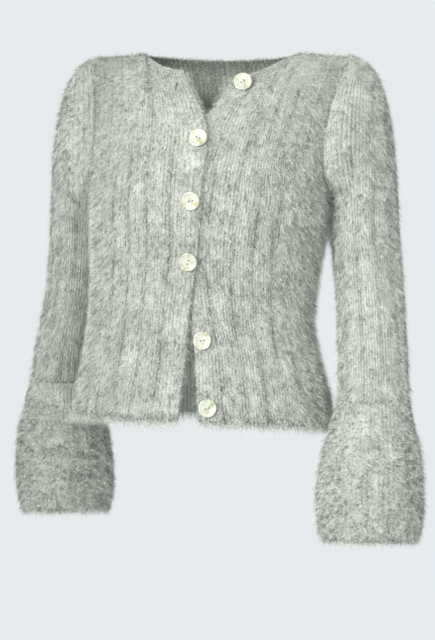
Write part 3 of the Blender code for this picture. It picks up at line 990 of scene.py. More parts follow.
@dataclass(frozen=True)
class Nap:
    """How many fibres a piece has, how long and light they are and how they lie."""

    fibres: int
    short: float = 0.0045
    long: float = 0.0095
    width: float = 0.00034
    lift: float = 0.42
    swirl: float = 0.45
    guard_share: float = 0.10
    guard_short: float = 0.0080
    guard_long: float = 0.0135
    guard_width: float = 0.00024
    side_fibres: int = 0
    edge_fibres: int = 0
    edge_short: float = 0.007
    edge_long: float = 0.014
    inner_fibres: int = 0
    lock: tuple[float, float] = (0.0024, 0.0046)
    wale: float = 0.0048
    wale_shade: float = 0.36
    # painted shade: how much darker the fibres are in the grooves between ribs
    groove_painted_shade: float = 0.36
    wale_wander: float = 0.5
    wander_rate: float = 90.0
    lock_jitter: float = 0.3
    lock_swirl: float = 0.8
    own_swirl: float = 0.9
    lock_lift: float = 0.35
    lock_shade: float = 0.78
    guard_lift: float = 0.35
    # guard hairs are a little paler: partly their own silvery tone, partly painted light of the halo
    guard_shade: float = 0.10
    cling_guards: float = 0.45
    cling_lift: float = 0.6
    # painted light and shade: how much the cling value lightens the fibres, or darkens them where it is
    # below 0
    cling_painted_light_and_shade: float = 0.45
    spring: float = 0.7
    root_depth: float = 0.0004
    field_lay: Lay = Lay(0.35, bend=0.35, droop=0.25, shade=0.55, shade_spread=0.22, lift=0.9)
    rim_lay: Lay = Lay(0.22, 0.30, droop=0.35, shade=0.64, shade_spread=0.20, shade_range=(0.12, 1.1))
    inner_lay: Lay = Lay(0.3, 0.25, 0.0, shade=0.56, shade_spread=0.27, lift=0.8, lift_range=(0.15, 1.4))
    rim_spread: float = 0.30
    rim_depth: float = 0.25
    rim_tuck: float = 1.5


def between(low: float, high: float, count: int, chance: Chance, power: float = 1.0) -> Array:
    """Random sizes from low to high, most of them low where the power is above 1."""
    return low + (high - low) * chance.random(count) ** power


@dataclass
class Fibres:
    """Arrays of fibres: roots, directions, bends, lengths, widths, shades, and which of them curl."""

    roots: Array
    ways: Array
    bends: Array
    lengths: Array
    widths: Array
    shades: Array
    curls: Array
    # painted shade: each fibre is darker at its root, deep in the nap, and lighter towards its tip
    root_painted_shade: float = 0.45
    middle_shade: float = 0.85
    tip_shade: float = 1.05
    middle_width: float = 0.8

    def joined(self, other: "Fibres") -> "Fibres":
        """These fibres and others together."""
        names = ("roots", "ways", "bends", "lengths", "widths", "shades", "curls")
        return Fibres(*(np.concatenate([getattr(self, n), getattr(other, n)]) for n in names))

    def build(self, name: str, material: Material, seed: int) -> bpy.types.Object:
        """One joined mesh of tapered fibres: a triangle for a short one, three for one that curls.

        Args:
            name: Name of the object.
            material: Its finish.
            seed: Seed of the way each fibre is turned.

        Returns:
            The object, with a shade for each of its points.
        """
        chance = np.random.default_rng(seed)
        half = self.lengths[:, None] / 2
        middle = self.roots + self.ways * half
        tip = middle + unit(self.ways + self.bends) * half
        broad = unit(np.cross(self.ways, chance.normal(size=self.roots.shape))) * self.widths[:, None] / 2
        low, high = self.roots - broad, self.roots + broad
        plain, curled = ~self.curls, self.curls
        short = np.stack([low[plain], high[plain], tip[plain]], 1)
        narrow = broad * self.middle_width
        bent = [low, high, middle - narrow, middle + narrow, tip]
        bent = np.stack([corner[curled] for corner in bent], 1)
        places = np.concatenate([short.reshape(-1, 3), bent.reshape(-1, 3)])
        plain_at, curled_at = np.arange(len(short))[:, None], np.arange(len(bent))[:, None]
        bent_loops = 3 * len(short) + 5 * curled_at + np.array([[0, 1, 3, 2, 2, 3, 4]])
        loops = np.concatenate([np.arange(3 * len(short)), bent_loops.ravel()])
        bent_starts = 3 * len(short) + 7 * curled_at + np.array([[0, 4]])
        starts = np.concatenate([3 * plain_at.ravel(), bent_starts.ravel()])
        mesh = bpy.data.meshes.new(name)
        mesh.vertices.add(len(places))
        mesh.vertices.foreach_set("co", places.astype(np.float32).ravel())
        mesh.loops.add(len(loops))
        mesh.loops.foreach_set("vertex_index", loops.astype(np.int32))
        mesh.polygons.add(len(starts))
        mesh.polygons.foreach_set("loop_start", starts.astype(np.int32))
        mesh.update(calc_edges=True)
        # painted shade: the root's points take a darker tone than the tip's
        ends, middles = [self.root_painted_shade] * 2, [self.middle_shade] * 2
        plain_shade = self.shades[plain][:, None] * np.array([ends + [self.tip_shade]])
        bent_shade = self.shades[curled][:, None] * np.array([ends + middles + [self.tip_shade]])
        shade = mesh.attributes.new("shade", "FLOAT", "POINT")
        values = np.concatenate([plain_shade.ravel(), bent_shade.ravel()])
        shade.data.foreach_set("value", values.astype(np.float32))
        mesh.materials.append(material)
        return link(name, mesh)


@dataclass
class KnitPiece:
    """One knitted piece of the cardigan: its shell, its nap and its cut."""

    name: str
    ribs: int
    wall: float
    rise: float
    cut: tuple[float, float]
    cut_area: float
    nap: Nap
    seed: int
    slot: Slot = Slot.KNIT
    held: str = "draped"
    rests_on: tuple[str, ...] = ()
    is_tube: bool = False
    steps_in_rib: int = 8
    rows: int = 90
    low_level: float = 0.0
    top_level: float = 2.0
    inset: float = 0.0003
    thickness: float = 0.0020
    rib_shape: float = 3.8
    top_share: float = 0.0
    top_length: float = 1.0
    edge_lift: float = 0.12
    side_lift: float = 0.50
    high_share: float = 0.7
    inner_level: float = 1.45
    folds: SizeTable | None = None
    open_share: float = 0.68
    open_swing: float = 0.32
    open_waves: float = 40.0
    open_change: float = 9.0
    tries: float = 2.6
    edge_depth: float = 0.02
    side_depth: float = 0.025
    side_step: float = 0.03
    side_droop: float = 0.5

    def form(self, across: Array, level: Array) -> tuple[Array, Array]:
        """Inside point and outward normal at a place across the piece and a level along it."""
        raise NotImplementedError

    def shows(self, point: Array, across: Array) -> Array:
        """Whether the nap shows at a point, with no other layer lying on it."""
        return np.full(len(point), True)

    def column(self, across: Array, point: Array) -> Array:
        """Share of the way across at which the knit's own upright column through a place lies."""
        return across

    def knit_place(self, across: Array, level: Array, point: Array) -> tuple[Array, Array]:
        """Where a point of the piece lies on its knitted cloth: along its rows and its columns."""
        return across * self.cut[0], np.interp(level, *self.lengths())

    def relief(self, level: Array) -> Array:
        """How deep the grooves are at a level, as a share of their full depth."""
        return 1.0 + 0.0 * level

    def worn(self, column: Array, point: Array) -> Array:
        """How much of each groove the nap leaves open, uneven along it and from groove to groove.

        Args:
            column: Shares of the way across of the knit's columns.
            point: Points of the piece.

        Returns:
            The shares.
        """
        groove = np.round(column * self.ribs) % self.ribs
        waves = self.open_waves + self.open_change * np.sin(1.7 * groove)
        return self.open_share + self.open_swing * np.sin(2.4 * groove + self.seed + point[..., 2] * waves)

    def cling(self, point: Array, normal: Array) -> Array:
        """How far the nap stands out in a halo, up to 1. Below 0 it lies flatter. The same value paints
        light on the fibres, and paints shade where it is below 0.
        """
        return 0.0 * point[..., 0]

    def rib_height(self, across: Array, column: Array) -> Array:
        """Height of the ribs from 0 in a groove to 1 on top: broad ribs with narrow grooves."""
        return 1.0 - np.abs(2 * ((column * self.ribs) % 1.0) - 1) ** self.rib_shape

    def surface(self, across: Array, level: Array) -> tuple[Array, Array, Array]:
        """Outside of the shell.

        Args:
            across: Places across the piece, from 0 to 1.
            level: Places along it, from 0 to the top level.

        Returns:
            The points, the normals of the plain form, and the height of the ribs.
        """
        point, normal = self.form(across, level)
        column = self.column(across, point)
        groove = (1.0 - self.rib_height(across, column)) * self.relief(level) * self.worn(column, point)
        height = 1.0 - groove
        out = (self.wall - self.inset + self.rise * height) * self.fullness(level) - self.fold(point)
        return point + normal * out[..., None], normal, height

    def fold(self, point: Array) -> Array:
        """How far the listed soft folds sink the cloth at a point.

        Args:
            point: Points of the piece.

        Returns:
            The distances.
        """
        total = 0.0 * point[..., 0]
        for x, z, length, width, tilt, depth in self.folds.rows if self.folds else ():
            lean = math.radians(tilt)
            aside, up = point[..., 0] - x, point[..., 2] - z
            across = aside * math.cos(lean) + up * math.sin(lean)
            along = up * math.cos(lean) - aside * math.sin(lean)
            total = total + depth * np.exp(-((across / width) ** 2) - (along / length) ** 2)
        return total

    def fullness(self, level: Array) -> Array:
        """Share of its thickness that the cloth has at a level."""
        return 1.0 + 0.0 * level

    def lengths(self) -> tuple[Array, Array]:
        """Levels and the distance along the piece's middle at each.

        Returns:
            The levels and the distances.
        """
        levels = np.linspace(0.0, self.top_level, 200)
        points = self.form(np.full(200, 0.5), levels)[0]
        steps = np.linalg.norm(np.diff(points, axis=0), axis=1)
        return levels, np.concatenate([[0.0], np.cumsum(steps)])

    def build_shell(self, material: Material) -> bpy.types.Object:
        """The ribbed cloth shell, with the knit's own map and the depth of its grooves.

        Args:
            material: Its finish.

        Returns:
            The shell.
        """
        bm = bmesh.new()
        knit_map = bm.loops.layers.uv.new("knit")
        groove = bm.verts.layers.float.new("groove")
        columns = self.ribs * self.steps_in_rib
        bmesh.ops.create_grid(bm, x_segments=columns, y_segments=self.rows, size=1.0)
        flat = (np.array([vert.co[:2] for vert in bm.verts]) + 1.0) / 2.0
        across, level = flat[:, 0], self.low_level + flat[:, 1] * (self.top_level - self.low_level)
        point, normal, height = self.surface(across, level)
        width, places = self.cut[0], np.stack(self.knit_place(across, level, point), -1).tolist()
        bm.verts.index_update()
        for face in bm.faces:
            first = places[face.loops[0].vert.index][0]
            for loop in face.loops:
                row, column = places[loop.vert.index]
                loop[knit_map].uv = (row + width * round((first - row) / width), column)
        for vert, place, depth in zip(bm.verts, point.tolist(), (1.0 - height).tolist()):
            vert.co = place
            vert[groove] = depth
        bm.faces.ensure_lookup_table()
        face = bm.faces[len(bm.faces) // 2]
        face.normal_update()
        outward = Vector(normal[face.verts[0].index])
        if face.normal.dot(outward) < 0:
            bmesh.ops.reverse_faces(bm, faces=bm.faces)
        if self.is_tube:
            bmesh.ops.remove_doubles(bm, verts=bm.verts, dist=MERGE)
        shell = add_object(self.name + "_shell", bm, material)
        wall = shell.modifiers.new("wall", "SOLIDIFY")
        wall.thickness, wall.offset = self.thickness, -1.0
        return shell

    def scatter(self, count: int, low: float, high: float, chance: Chance) -> tuple[Array, Array]:
        """Places spread evenly over the piece's surface.

        Args:
            count: How many.
            low: Lowest level.
            high: Highest level.
            chance: Where the random numbers come from.

        Returns:
            Their places across and their levels.
        """
        tries = int(count * self.tries)
        across = chance.random(tries)
        level = between(low, high, tries, chance)
        step = 1e-3
        centre = self.form(across, level)[0]
        aside = self.form(np.where(across > 0.5, across - step, across + step), level)[0] - centre
        up = self.form(across, np.where(level > 1.0, level - step, level + step))[0] - centre
        area = np.linalg.norm(np.cross(aside, up), axis=-1)
        kept = chance.random(len(area)) < area / np.quantile(area, 0.98)
        kept &= self.shows(centre, across)
        return across[kept][:count], level[kept][:count]

    def comb(self, normal: Array) -> tuple[Array, Array]:
        """The directions down and aside along the cloth, by its normals."""
        down = unit(DOWN + normal * normal[:, 2:3])
        return down, np.cross(normal, down)

    def field_fibres(self, chance: Chance) -> Fibres:
        """The nap that covers the piece, combed down in small uneven locks.

        Args:
            chance: Where the random numbers come from.

        Returns:
            The fibres.
        """
        nap, lay = self.nap, self.nap.field_lay
        across, level = self.scatter(nap.fibres, self.low_level, self.top_level, chance)
        root, normal, height = self.surface(across, level)
        count = len(root)
        down, aside = self.comb(normal)
        along_row, along_column = self.knit_place(across, level, root)
        columns = np.floor(along_row / nap.lock[0] + nap.lock_jitter * chance.random(count))
        rows = along_column / nap.lock[1] + 0.5 * (columns % 2) + nap.lock_jitter * chance.random(count)
        lock = ((columns * 131 + np.floor(rows) * 17) % LOCKS).astype(int)
        locks = chance.normal(0.0, 1.0, (3, LOCKS))[:, lock]
        cling = self.cling(root, normal)
        guard = chance.random(count) < nap.guard_share + nap.cling_guards * cling
        swirl = nap.swirl * (nap.lock_swirl * locks[0] + chance.normal(0.0, nap.own_swirl, count))
        stand = lay.lift + nap.lock_lift * locks[1] + chance.normal(0.0, lay.lift_spread, count)
        lift = nap.lift * np.clip(stand, *lay.lift_range) + nap.guard_lift * guard + nap.cling_lift * cling
        way = unit(normal * lift[:, None] + down * lay.comb + aside * swirl[:, None])
        bend = lay.bends(count, chance)
        inward = np.minimum(0.0, np.sum(bend * normal, axis=1))
        bend = bend - normal * inward[:, None] * nap.spring
        length = between(nap.short, nap.long, count, chance, 1.4)
        length = np.where(guard, between(nap.guard_short, nap.guard_long, count, chance), length)
        width = np.where(guard, nap.guard_width, nap.width)
        shade = chance.normal(lay.shade, lay.shade_spread, count) + nap.lock_shade * locks[2]
        # painted light and shade: the halo of the sides, the front beside the armhole and the sleeve above
        # the cuff are paler, the cuff's top darker
        shade = shade + nap.guard_shade * guard + nap.cling_painted_light_and_shade * cling
        wales = TURN * round(self.cut[0] / nap.wale) / self.cut[0]
        wander = nap.wale_wander * np.sin(nap.wander_rate * along_column)
        wale = np.cos(wales * along_row + wander)
        # painted shade: fibres are darker where they root in a groove between ribs
        shade = shade + nap.wale_shade * wale - nap.groove_painted_shade * (1 - np.clip(height, 0.0, 1.0))
        shade = np.clip(shade, *lay.shade_range)
        return Fibres(root - normal * nap.root_depth, way, bend, length, width, shade, guard)

    def rim_fibres(
        self,
        across: Array,
        level: Array,
        outward: Array,
        length: Array,
        lift: float,
        chance: Chance,
    ) -> Fibres:
        """Fibres along a rim or seam of the cloth.

        Args:
            across: Their places across.
            level: Their levels.
            outward: Direction out of the cloth at each.
            length: Their lengths.
            lift: How far they stand off the cloth.
            chance: Where the random numbers come from.

        Returns:
            The fibres.
        """
        nap, lay, count = self.nap, self.nap.rim_lay, len(across)
        root, normal, _ = self.surface(across, level)
        loose = chance.normal(0.0, nap.rim_spread, (count, 3))
        way = unit(outward + normal * chance.normal(lift, lay.lift_spread, count)[:, None] + loose)
        bend = lay.bends(count, chance)
        shade = np.clip(chance.normal(lay.shade, lay.shade_spread, count), *lay.shade_range)
        deepest = self.wall * max(nap.rim_depth, 1.0 - nap.rim_tuck * lift)
        depth = normal * (deepest * chance.random(count))[:, None]
        width, curls = np.full(count, nap.guard_width), np.full(count, True)
        return Fibres(root - depth, way, bend, length, width, shade, curls)

    def edge_fibres(self, chance: Chance) -> Fibres:
        """Longer fibres along the lower and upper edges, pointing out of the cloth.

        Args:
            chance: Where the random numbers come from.

        Returns:
            The fibres.
        """
        nap, count = self.nap, self.nap.edge_fibres
        across = chance.random(count)
        is_top = chance.random(count) < self.top_share
        inward = self.edge_depth * chance.random(count) ** 2
        level = np.where(is_top, self.top_level - inward, self.low_level + inward)
        inner_level = np.where(is_top, level - self.edge_depth, level + self.edge_depth)
        beyond = self.form(across, inner_level)[0]
        outward = unit(self.form(across, level)[0] - beyond)
        length = between(nap.edge_short, nap.edge_long, count, chance, 1.8)
        length = np.where(is_top, length * self.top_length, length)
        return self.rim_fibres(across, level, outward, length, self.edge_lift, chance)

    def side_fibres(self, chance: Chance) -> Fibres:
        """Fibres over the side edges: the armhole, the side seam and a front's free edge.

        Args:
            chance: Where the random numbers come from.

        Returns:
            The fibres.
        """
        nap, count = self.nap, self.nap.side_fibres
        is_high = chance.random(count) < self.high_share
        inward = self.side_depth * chance.random(count) ** 2
        across = np.where(is_high, 1.0 - inward, inward)
        level = between(self.low_level, self.top_level, count, chance, 0.6)
        inner_across = np.where(is_high, across - self.side_step, across + self.side_step)
        beyond = self.form(inner_across, level)[0]
        outward = unit(self.form(across, level)[0] - beyond) + DOWN * self.side_droop
        length = between(nap.short, nap.guard_long, count, chance)
        return self.rim_fibres(across, level, unit(outward), length, self.side_lift, chance)

    def inner_fibres(self, chance: Chance) -> Fibres:
        """Short nap on the inside, where it shows through the neck.

        Args:
            chance: Where the random numbers come from.

        Returns:
            The fibres.
        """
        nap, lay = self.nap, self.nap.inner_lay
        across, level = self.scatter(nap.inner_fibres, self.inner_level, self.top_level, chance)
        outside, normal, height = self.surface(across, level)
        count = len(across)
        down, aside = self.comb(normal)
        swirl = aside * chance.normal(0.0, nap.swirl, count)[:, None]
        lift = nap.lift * np.clip(chance.normal(lay.lift, lay.lift_spread, count), *lay.lift_range)
        way = unit(down * lay.comb + swirl - normal * lift[:, None])
        bend = lay.bends(count, chance)
        length = between(nap.short, nap.long, count, chance)
        # painted shade: the inner fibres are darker in the grooves too
        shade = chance.normal(lay.shade, lay.shade_spread, count) - nap.groove_painted_shade * (1 - height)
        shade = np.clip(shade, *lay.shade_range)
        width, curls = np.full(count, nap.width), np.full(count, False)
        return Fibres(outside - normal * self.thickness, way, bend, length, width, shade, curls)

    def dress(self, knit: Material, nap: Material) -> None:
        """Args:
            knit: Finish of the shell.
            nap: Finish of the fibres.
        """
        chance = np.random.default_rng(self.seed)
        shell = self.build_shell(knit)
        fibres = self.field_fibres(chance)
        fibres = fibres.joined(self.edge_fibres(chance)).joined(self.side_fibres(chance))
        if self.nap.inner_fibres:
            fibres = fibres.joined(self.inner_fibres(chance))
        fur = fibres.build(self.name + "_nap", nap, self.seed + 1)
        for piece in (shell, fur):
            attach(piece, BODY)
        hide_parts(self.name)
        log.info("%s: shell and %d fibres", self.name, len(fibres.roots))


@dataclass
class BodyPiece(KnitPiece):
    """A front or the back, which follow the form of the body."""

    body: BodyForm = field(default_factory=BodyForm)
    stretch: float = 0.45
    stretch_levels: tuple[float, float] = (0.8, 1.4)
    side_halo: float = 0.60
    arm_halo: float = 0.15
    arm_z: tuple[float, float] = (-0.260, -0.235)
    armpit_z: tuple[float, float] = (-0.190, -0.170)

    def relief(self, level: Array) -> Array:
        """The ribs are stretched flatter over the chest and the shoulder blades."""
        return 1.0 - self.stretch * ease(*self.stretch_levels, level)

    def halo(self, z: Array) -> Array:
        """How far the nap of the sides stands out at a height, with painted light on it: most of all under
        the arm.
        """
        return self.side_halo + self.arm_halo * ease(*self.arm_z, z)


@dataclass
class Front(BodyPiece):
    """One front, from its free edge to the side seam and from the hem to the shoulder seam."""

    side: Side = Side.LEFT
    side_facing: tuple[float, float] = (0.50, 0.88)
    seam_halo: float = 0.35
    seam_facing: tuple[float, float] = (0.25, 0.60)
    lap_beside: float = 0.002
    lap_below: float = 0.01
    lap_above: float = 0.005

    def form(self, across: Array, level: Array) -> tuple[Array, Array]:
        """Inside point and outward normal of the front.

        Args:
            across: Places across the piece.
            level: Levels along the piece.

        Returns:
            The points and the normals.
        """
        body, sign = self.body, self.side.sign
        share = np.maximum(level - 1.0, 0.0)
        corner_z = float(body.corner.at("z", sign))
        corner_across = abs(float(body.front_edge.at(self.side.value, corner_z)))
        corner_share = body.neck_share(np.array(corner_across), corner_z, corner_across, body.front_round)
        corner_angle = body.edge_angle(self.side, corner_z) * sign
        top_angle = body.rib_angle(corner_angle, body.armhole_angle(1.0), across)
        column_top = body.yoke_top_across(top_angle)
        column_share = body.neck_share(column_top, corner_z, corner_across, body.front_round)
        edge_height = body.yoke_lift(share * corner_share, body.front_round)[0]
        skirt_z = body.hem_z + (body.underarm_z - body.hem_z) * np.minimum(level, 1.0)
        yoke_z = body.underarm_z + (body.shoulder_z - body.underarm_z) * edge_height
        edge_z = np.where(level <= 1.0, skirt_z, yoke_z)
        armhole = body.armhole_angle(body.yoke_lift(share, body.front_round)[0])
        side_angle = np.where(level <= 1.0, QUARTER, armhole)
        angle = sign * body.rib_angle(body.edge_angle(self.side, edge_z) * sign, side_angle, across)
        body_level = np.where(level <= 1.0, level, 1.0 + share * column_share)
        point, normal = body.point(angle, body_level), body.normal(angle, body_level)
        out = body.flute(angle, point[..., 2]) + body.lap(self.side, angle, point[..., 2])
        point = point + normal * out[..., None]
        point[..., 1] -= body.knit.seam_gap / 2
        return point, normal

    def rib_height(self, across: Array, column: Array) -> Array:
        """The last rib runs on into the side seam and armhole with no groove."""
        return np.where(across > 1.0 - 0.5 / self.ribs, 1.0, super().rib_height(across, column))

    def cling(self, point: Array, normal: Array) -> Array:
        """The side's nap stands out in a halo, most of all under the arm, and lies over the armhole seam;
        both get painted light that makes the fibres paler.

        Args:
            point: Points of the piece.
            normal: Outward normals there.

        Returns:
            The strength at each point.
        """
        z, aside = point[..., 2], np.abs(normal[..., 0])
        halo = self.halo(z) * ease(*self.side_facing, aside)
        beside_armhole = self.seam_halo * ease(*self.seam_facing, aside)
        return halo + (beside_armhole - halo) * ease(*self.armpit_z, z)

    def shows(self, point: Array, across: Array) -> Array:
        """The left front's nap is hidden where the right front lies on it.

        Args:
            point: Points of the piece.
            across: Places across the piece; not used.

        Returns:
            Whether it shows at each point.
        """
        if self.side is Side.RIGHT:
            return np.full(len(point), True)
        body, z = self.body, point[:, 2]
        aside = point[:, 0] - body.torso.at("centre_x", z)
        under = aside < body.front_edge.at("right", z) + self.lap_beside
        lapped = (z > body.lap_bottom - self.lap_below) & (z < body.lap_top + self.lap_above)
        return ~(under & lapped)


@dataclass
class Back(BodyPiece):
    """The back, from side seam to side seam and from the hem to the shoulder seams."""

    side_facing: tuple[float, float] = (0.70, 0.92)

    def form(self, across: Array, level: Array) -> tuple[Array, Array]:
        """Inside point and outward normal of the back, from the garment's left to its right.

        Args:
            across: Places across the piece.
            level: Levels along the piece.

        Returns:
            The points and the normals.
        """
        body = self.body
        share = np.maximum(level - 1.0, 0.0)
        aside = 2.0 * np.abs(across - 0.5)
        column_top = math.pi - body.rib_angle(0.0, body.armhole_angle(1.0), aside)
        dip_z = body.shoulder_z - body.back_neck_dip
        column_share = body.neck_share(body.yoke_top_across(column_top), dip_z, 0.0, body.back_round)
        armhole = body.armhole_angle(body.yoke_lift(share, body.back_round)[0])
        side_angle = np.where(level <= 1.0, QUARTER, armhole)
        angle = np.where(across <= 0.5, 1.0, -1.0) * (math.pi - body.rib_angle(0.0, side_angle, aside))
        body_level = np.where(level <= 1.0, level, 1.0 + share * column_share)
        point, normal = body.point(angle, body_level), body.normal(angle, body_level)
        point = point + normal * body.flute(angle, point[..., 2])[..., None]
        point[..., 1] += body.knit.seam_gap / 2
        return point, normal

    def rib_height(self, across: Array, column: Array) -> Array:
        """The last ribs run on into the side seams and armholes with no groove."""
        at_side = np.abs(across - 0.5) > 0.5 - 0.5 / self.ribs
        return np.where(at_side, 1.0, super().rib_height(across, column))

    def cling(self, point: Array, normal: Array) -> Array:
        """The side's nap stands out in a halo with painted light, most of all under the arm, where it meets
        the sleeve's.

        Args:
            point: Points of the piece.
            normal: Outward normals there.

        Returns:
            The strength at each point.
        """
        z = point[..., 2]
        at_side = ease(*self.side_facing, np.abs(normal[..., 0]))
        return at_side * self.halo(z) * (1 - ease(*self.armpit_z, z))


@dataclass
class Sleeve(KnitPiece):
    """One sleeve, from the armhole to its end inside the cuff."""

    arm: ArmForm | None = None
    inner_facing: tuple[float, float] = (0.45, 0.75)
    side_z: tuple[float, float] = (-0.255, -0.235)
    armpit_z: tuple[float, float] = (-0.190, -0.175)
    cuff_halo: float = 0.40
    cuff_near: tuple[float, float] = (0.004, 0.040)
    hang_height: float = 0.007

    def form(self, across: Array, level: Array) -> tuple[Array, Array]:
        """Inside point and outward normal of the sleeve, creased as it hangs.

        Args:
            across: Places across the piece.
            level: Levels along the piece.

        Returns:
            The points and the normals.
        """
        arm, turn = self.arm, across * TURN
        point = arm.sleeve_point(turn, level)
        normal = arm.tube_normal(arm.sleeve_point, turn, level)
        return point - normal * arm.crease(turn, point[..., 2])[..., None], normal

    def column(self, across: Array, point: Array) -> Array:
        """The sleeve's columns run straight up through the cap, where the armhole cuts them off.

        Args:
            across: Places across the piece; not used.
            point: Points of the piece.

        Returns:
            The shares.
        """
        arm = self.arm
        z = np.minimum(point[..., 2], arm.biceps_z)
        x, y, half_width, half_depth = arm.rings.all_at(z)
        outward = arm.side.sign * (point[..., 0] - x) / half_width
        return (np.arctan2((y - point[..., 1]) / half_depth, outward) / TURN) % 1.0

    def knit_place(self, across: Array, level: Array, point: Array) -> tuple[Array, Array]:
        """The cloth's columns stand upright, on the cap too."""
        return self.column(across, point) * self.cut[0], -point[..., 2]

    def relief(self, level: Array) -> Array:
        """The ribs are stretched flatter over the cap."""
        return 0.45 + 0.55 * ease(0.2, 1.2, level)

    def cling(self, point: Array, normal: Array) -> Array:
        """The sleeve's nap clings to the side's under the arm, and hangs over the top of the cuff; both get
        painted light that makes the fibres paler.

        Args:
            point: Points of the piece.
            normal: Outward normals there.

        Returns:
            The strength at each point.
        """
        z = point[..., 2]
        inner = ease(*self.inner_facing, -self.arm.side.sign * normal[..., 0])
        under_arm = inner * ease(*self.side_z, z) * (1 - ease(*self.armpit_z, z))
        return under_arm + self.cuff_halo * (1 - ease(*self.cuff_near, z - self.arm.cuff_top_z))

    def side_fibres(self, chance: Chance) -> Fibres:
        """Fibres that hang from the sleeve over the top of the cuff.

        Args:
            chance: Where the random numbers come from.

        Returns:
            The fibres.
        """
        arm, nap, count = self.arm, self.nap, self.nap.side_fibres
        across = chance.random(count)
        z = arm.cuff_top_z + self.hang_height * chance.random(count) ** 1.5
        level = 1.0 + (z - arm.biceps_z) / (arm.cuff_top_z - arm.lap - arm.biceps_z)
        outward = np.tile(DOWN, (count, 1))
        length = between(nap.long, nap.guard_long, count, chance)
        return self.rim_fibres(across, level, outward, length, self.side_lift, chance)

    def shows(self, point: Array, across: Array) -> Array:
        """The nap ends where the cuff lies over the sleeve."""
        return point[:, 2] > self.arm.cuff_top_z


@dataclass
class Cuff(KnitPiece):
    """One deep flared cuff, whose nap stands out more than the rest."""

    arm: ArmForm | None = None
    thin_top: float = 0.25
    thin_level: float = 0.12
    flat_top: float = 0.55
    flat_length: float = 0.050

    def form(self, across: Array, level: Array) -> tuple[Array, Array]:
        """Inside point and outward normal of the cuff, from its top down.

        Args:
            across: Places across the piece.
            level: Levels along the piece.

        Returns:
            The points and the normals.
        """
        arm, turn = self.arm, across * TURN
        normal = arm.tube_normal(arm.cuff_point, turn, np.clip(level, STEP, 1.0 - STEP))
        return arm.cuff_point(turn, level), normal

    def fullness(self, level: Array) -> Array:
        """The cuff's top thins out on the sleeve, so that it starts in a soft step."""
        return self.thin_top + (1.0 - self.thin_top) * ease(0.0, self.thin_level, level)

    def cling(self, point: Array, normal: Array) -> Array:
        """The nap lies flat at the cuff's top, with painted shade that darkens it there, and stands out
        further down.
        """
        return -self.flat_top * (1 - ease(0.0, self.flat_length, self.arm.cuff_top_z - point[..., 2]))

    def rib_height(self, across: Array, column: Array) -> Array:
        """Soft waves in place of ribs."""
        return 0.6 - 0.4 * np.cos(TURN * column * self.ribs)


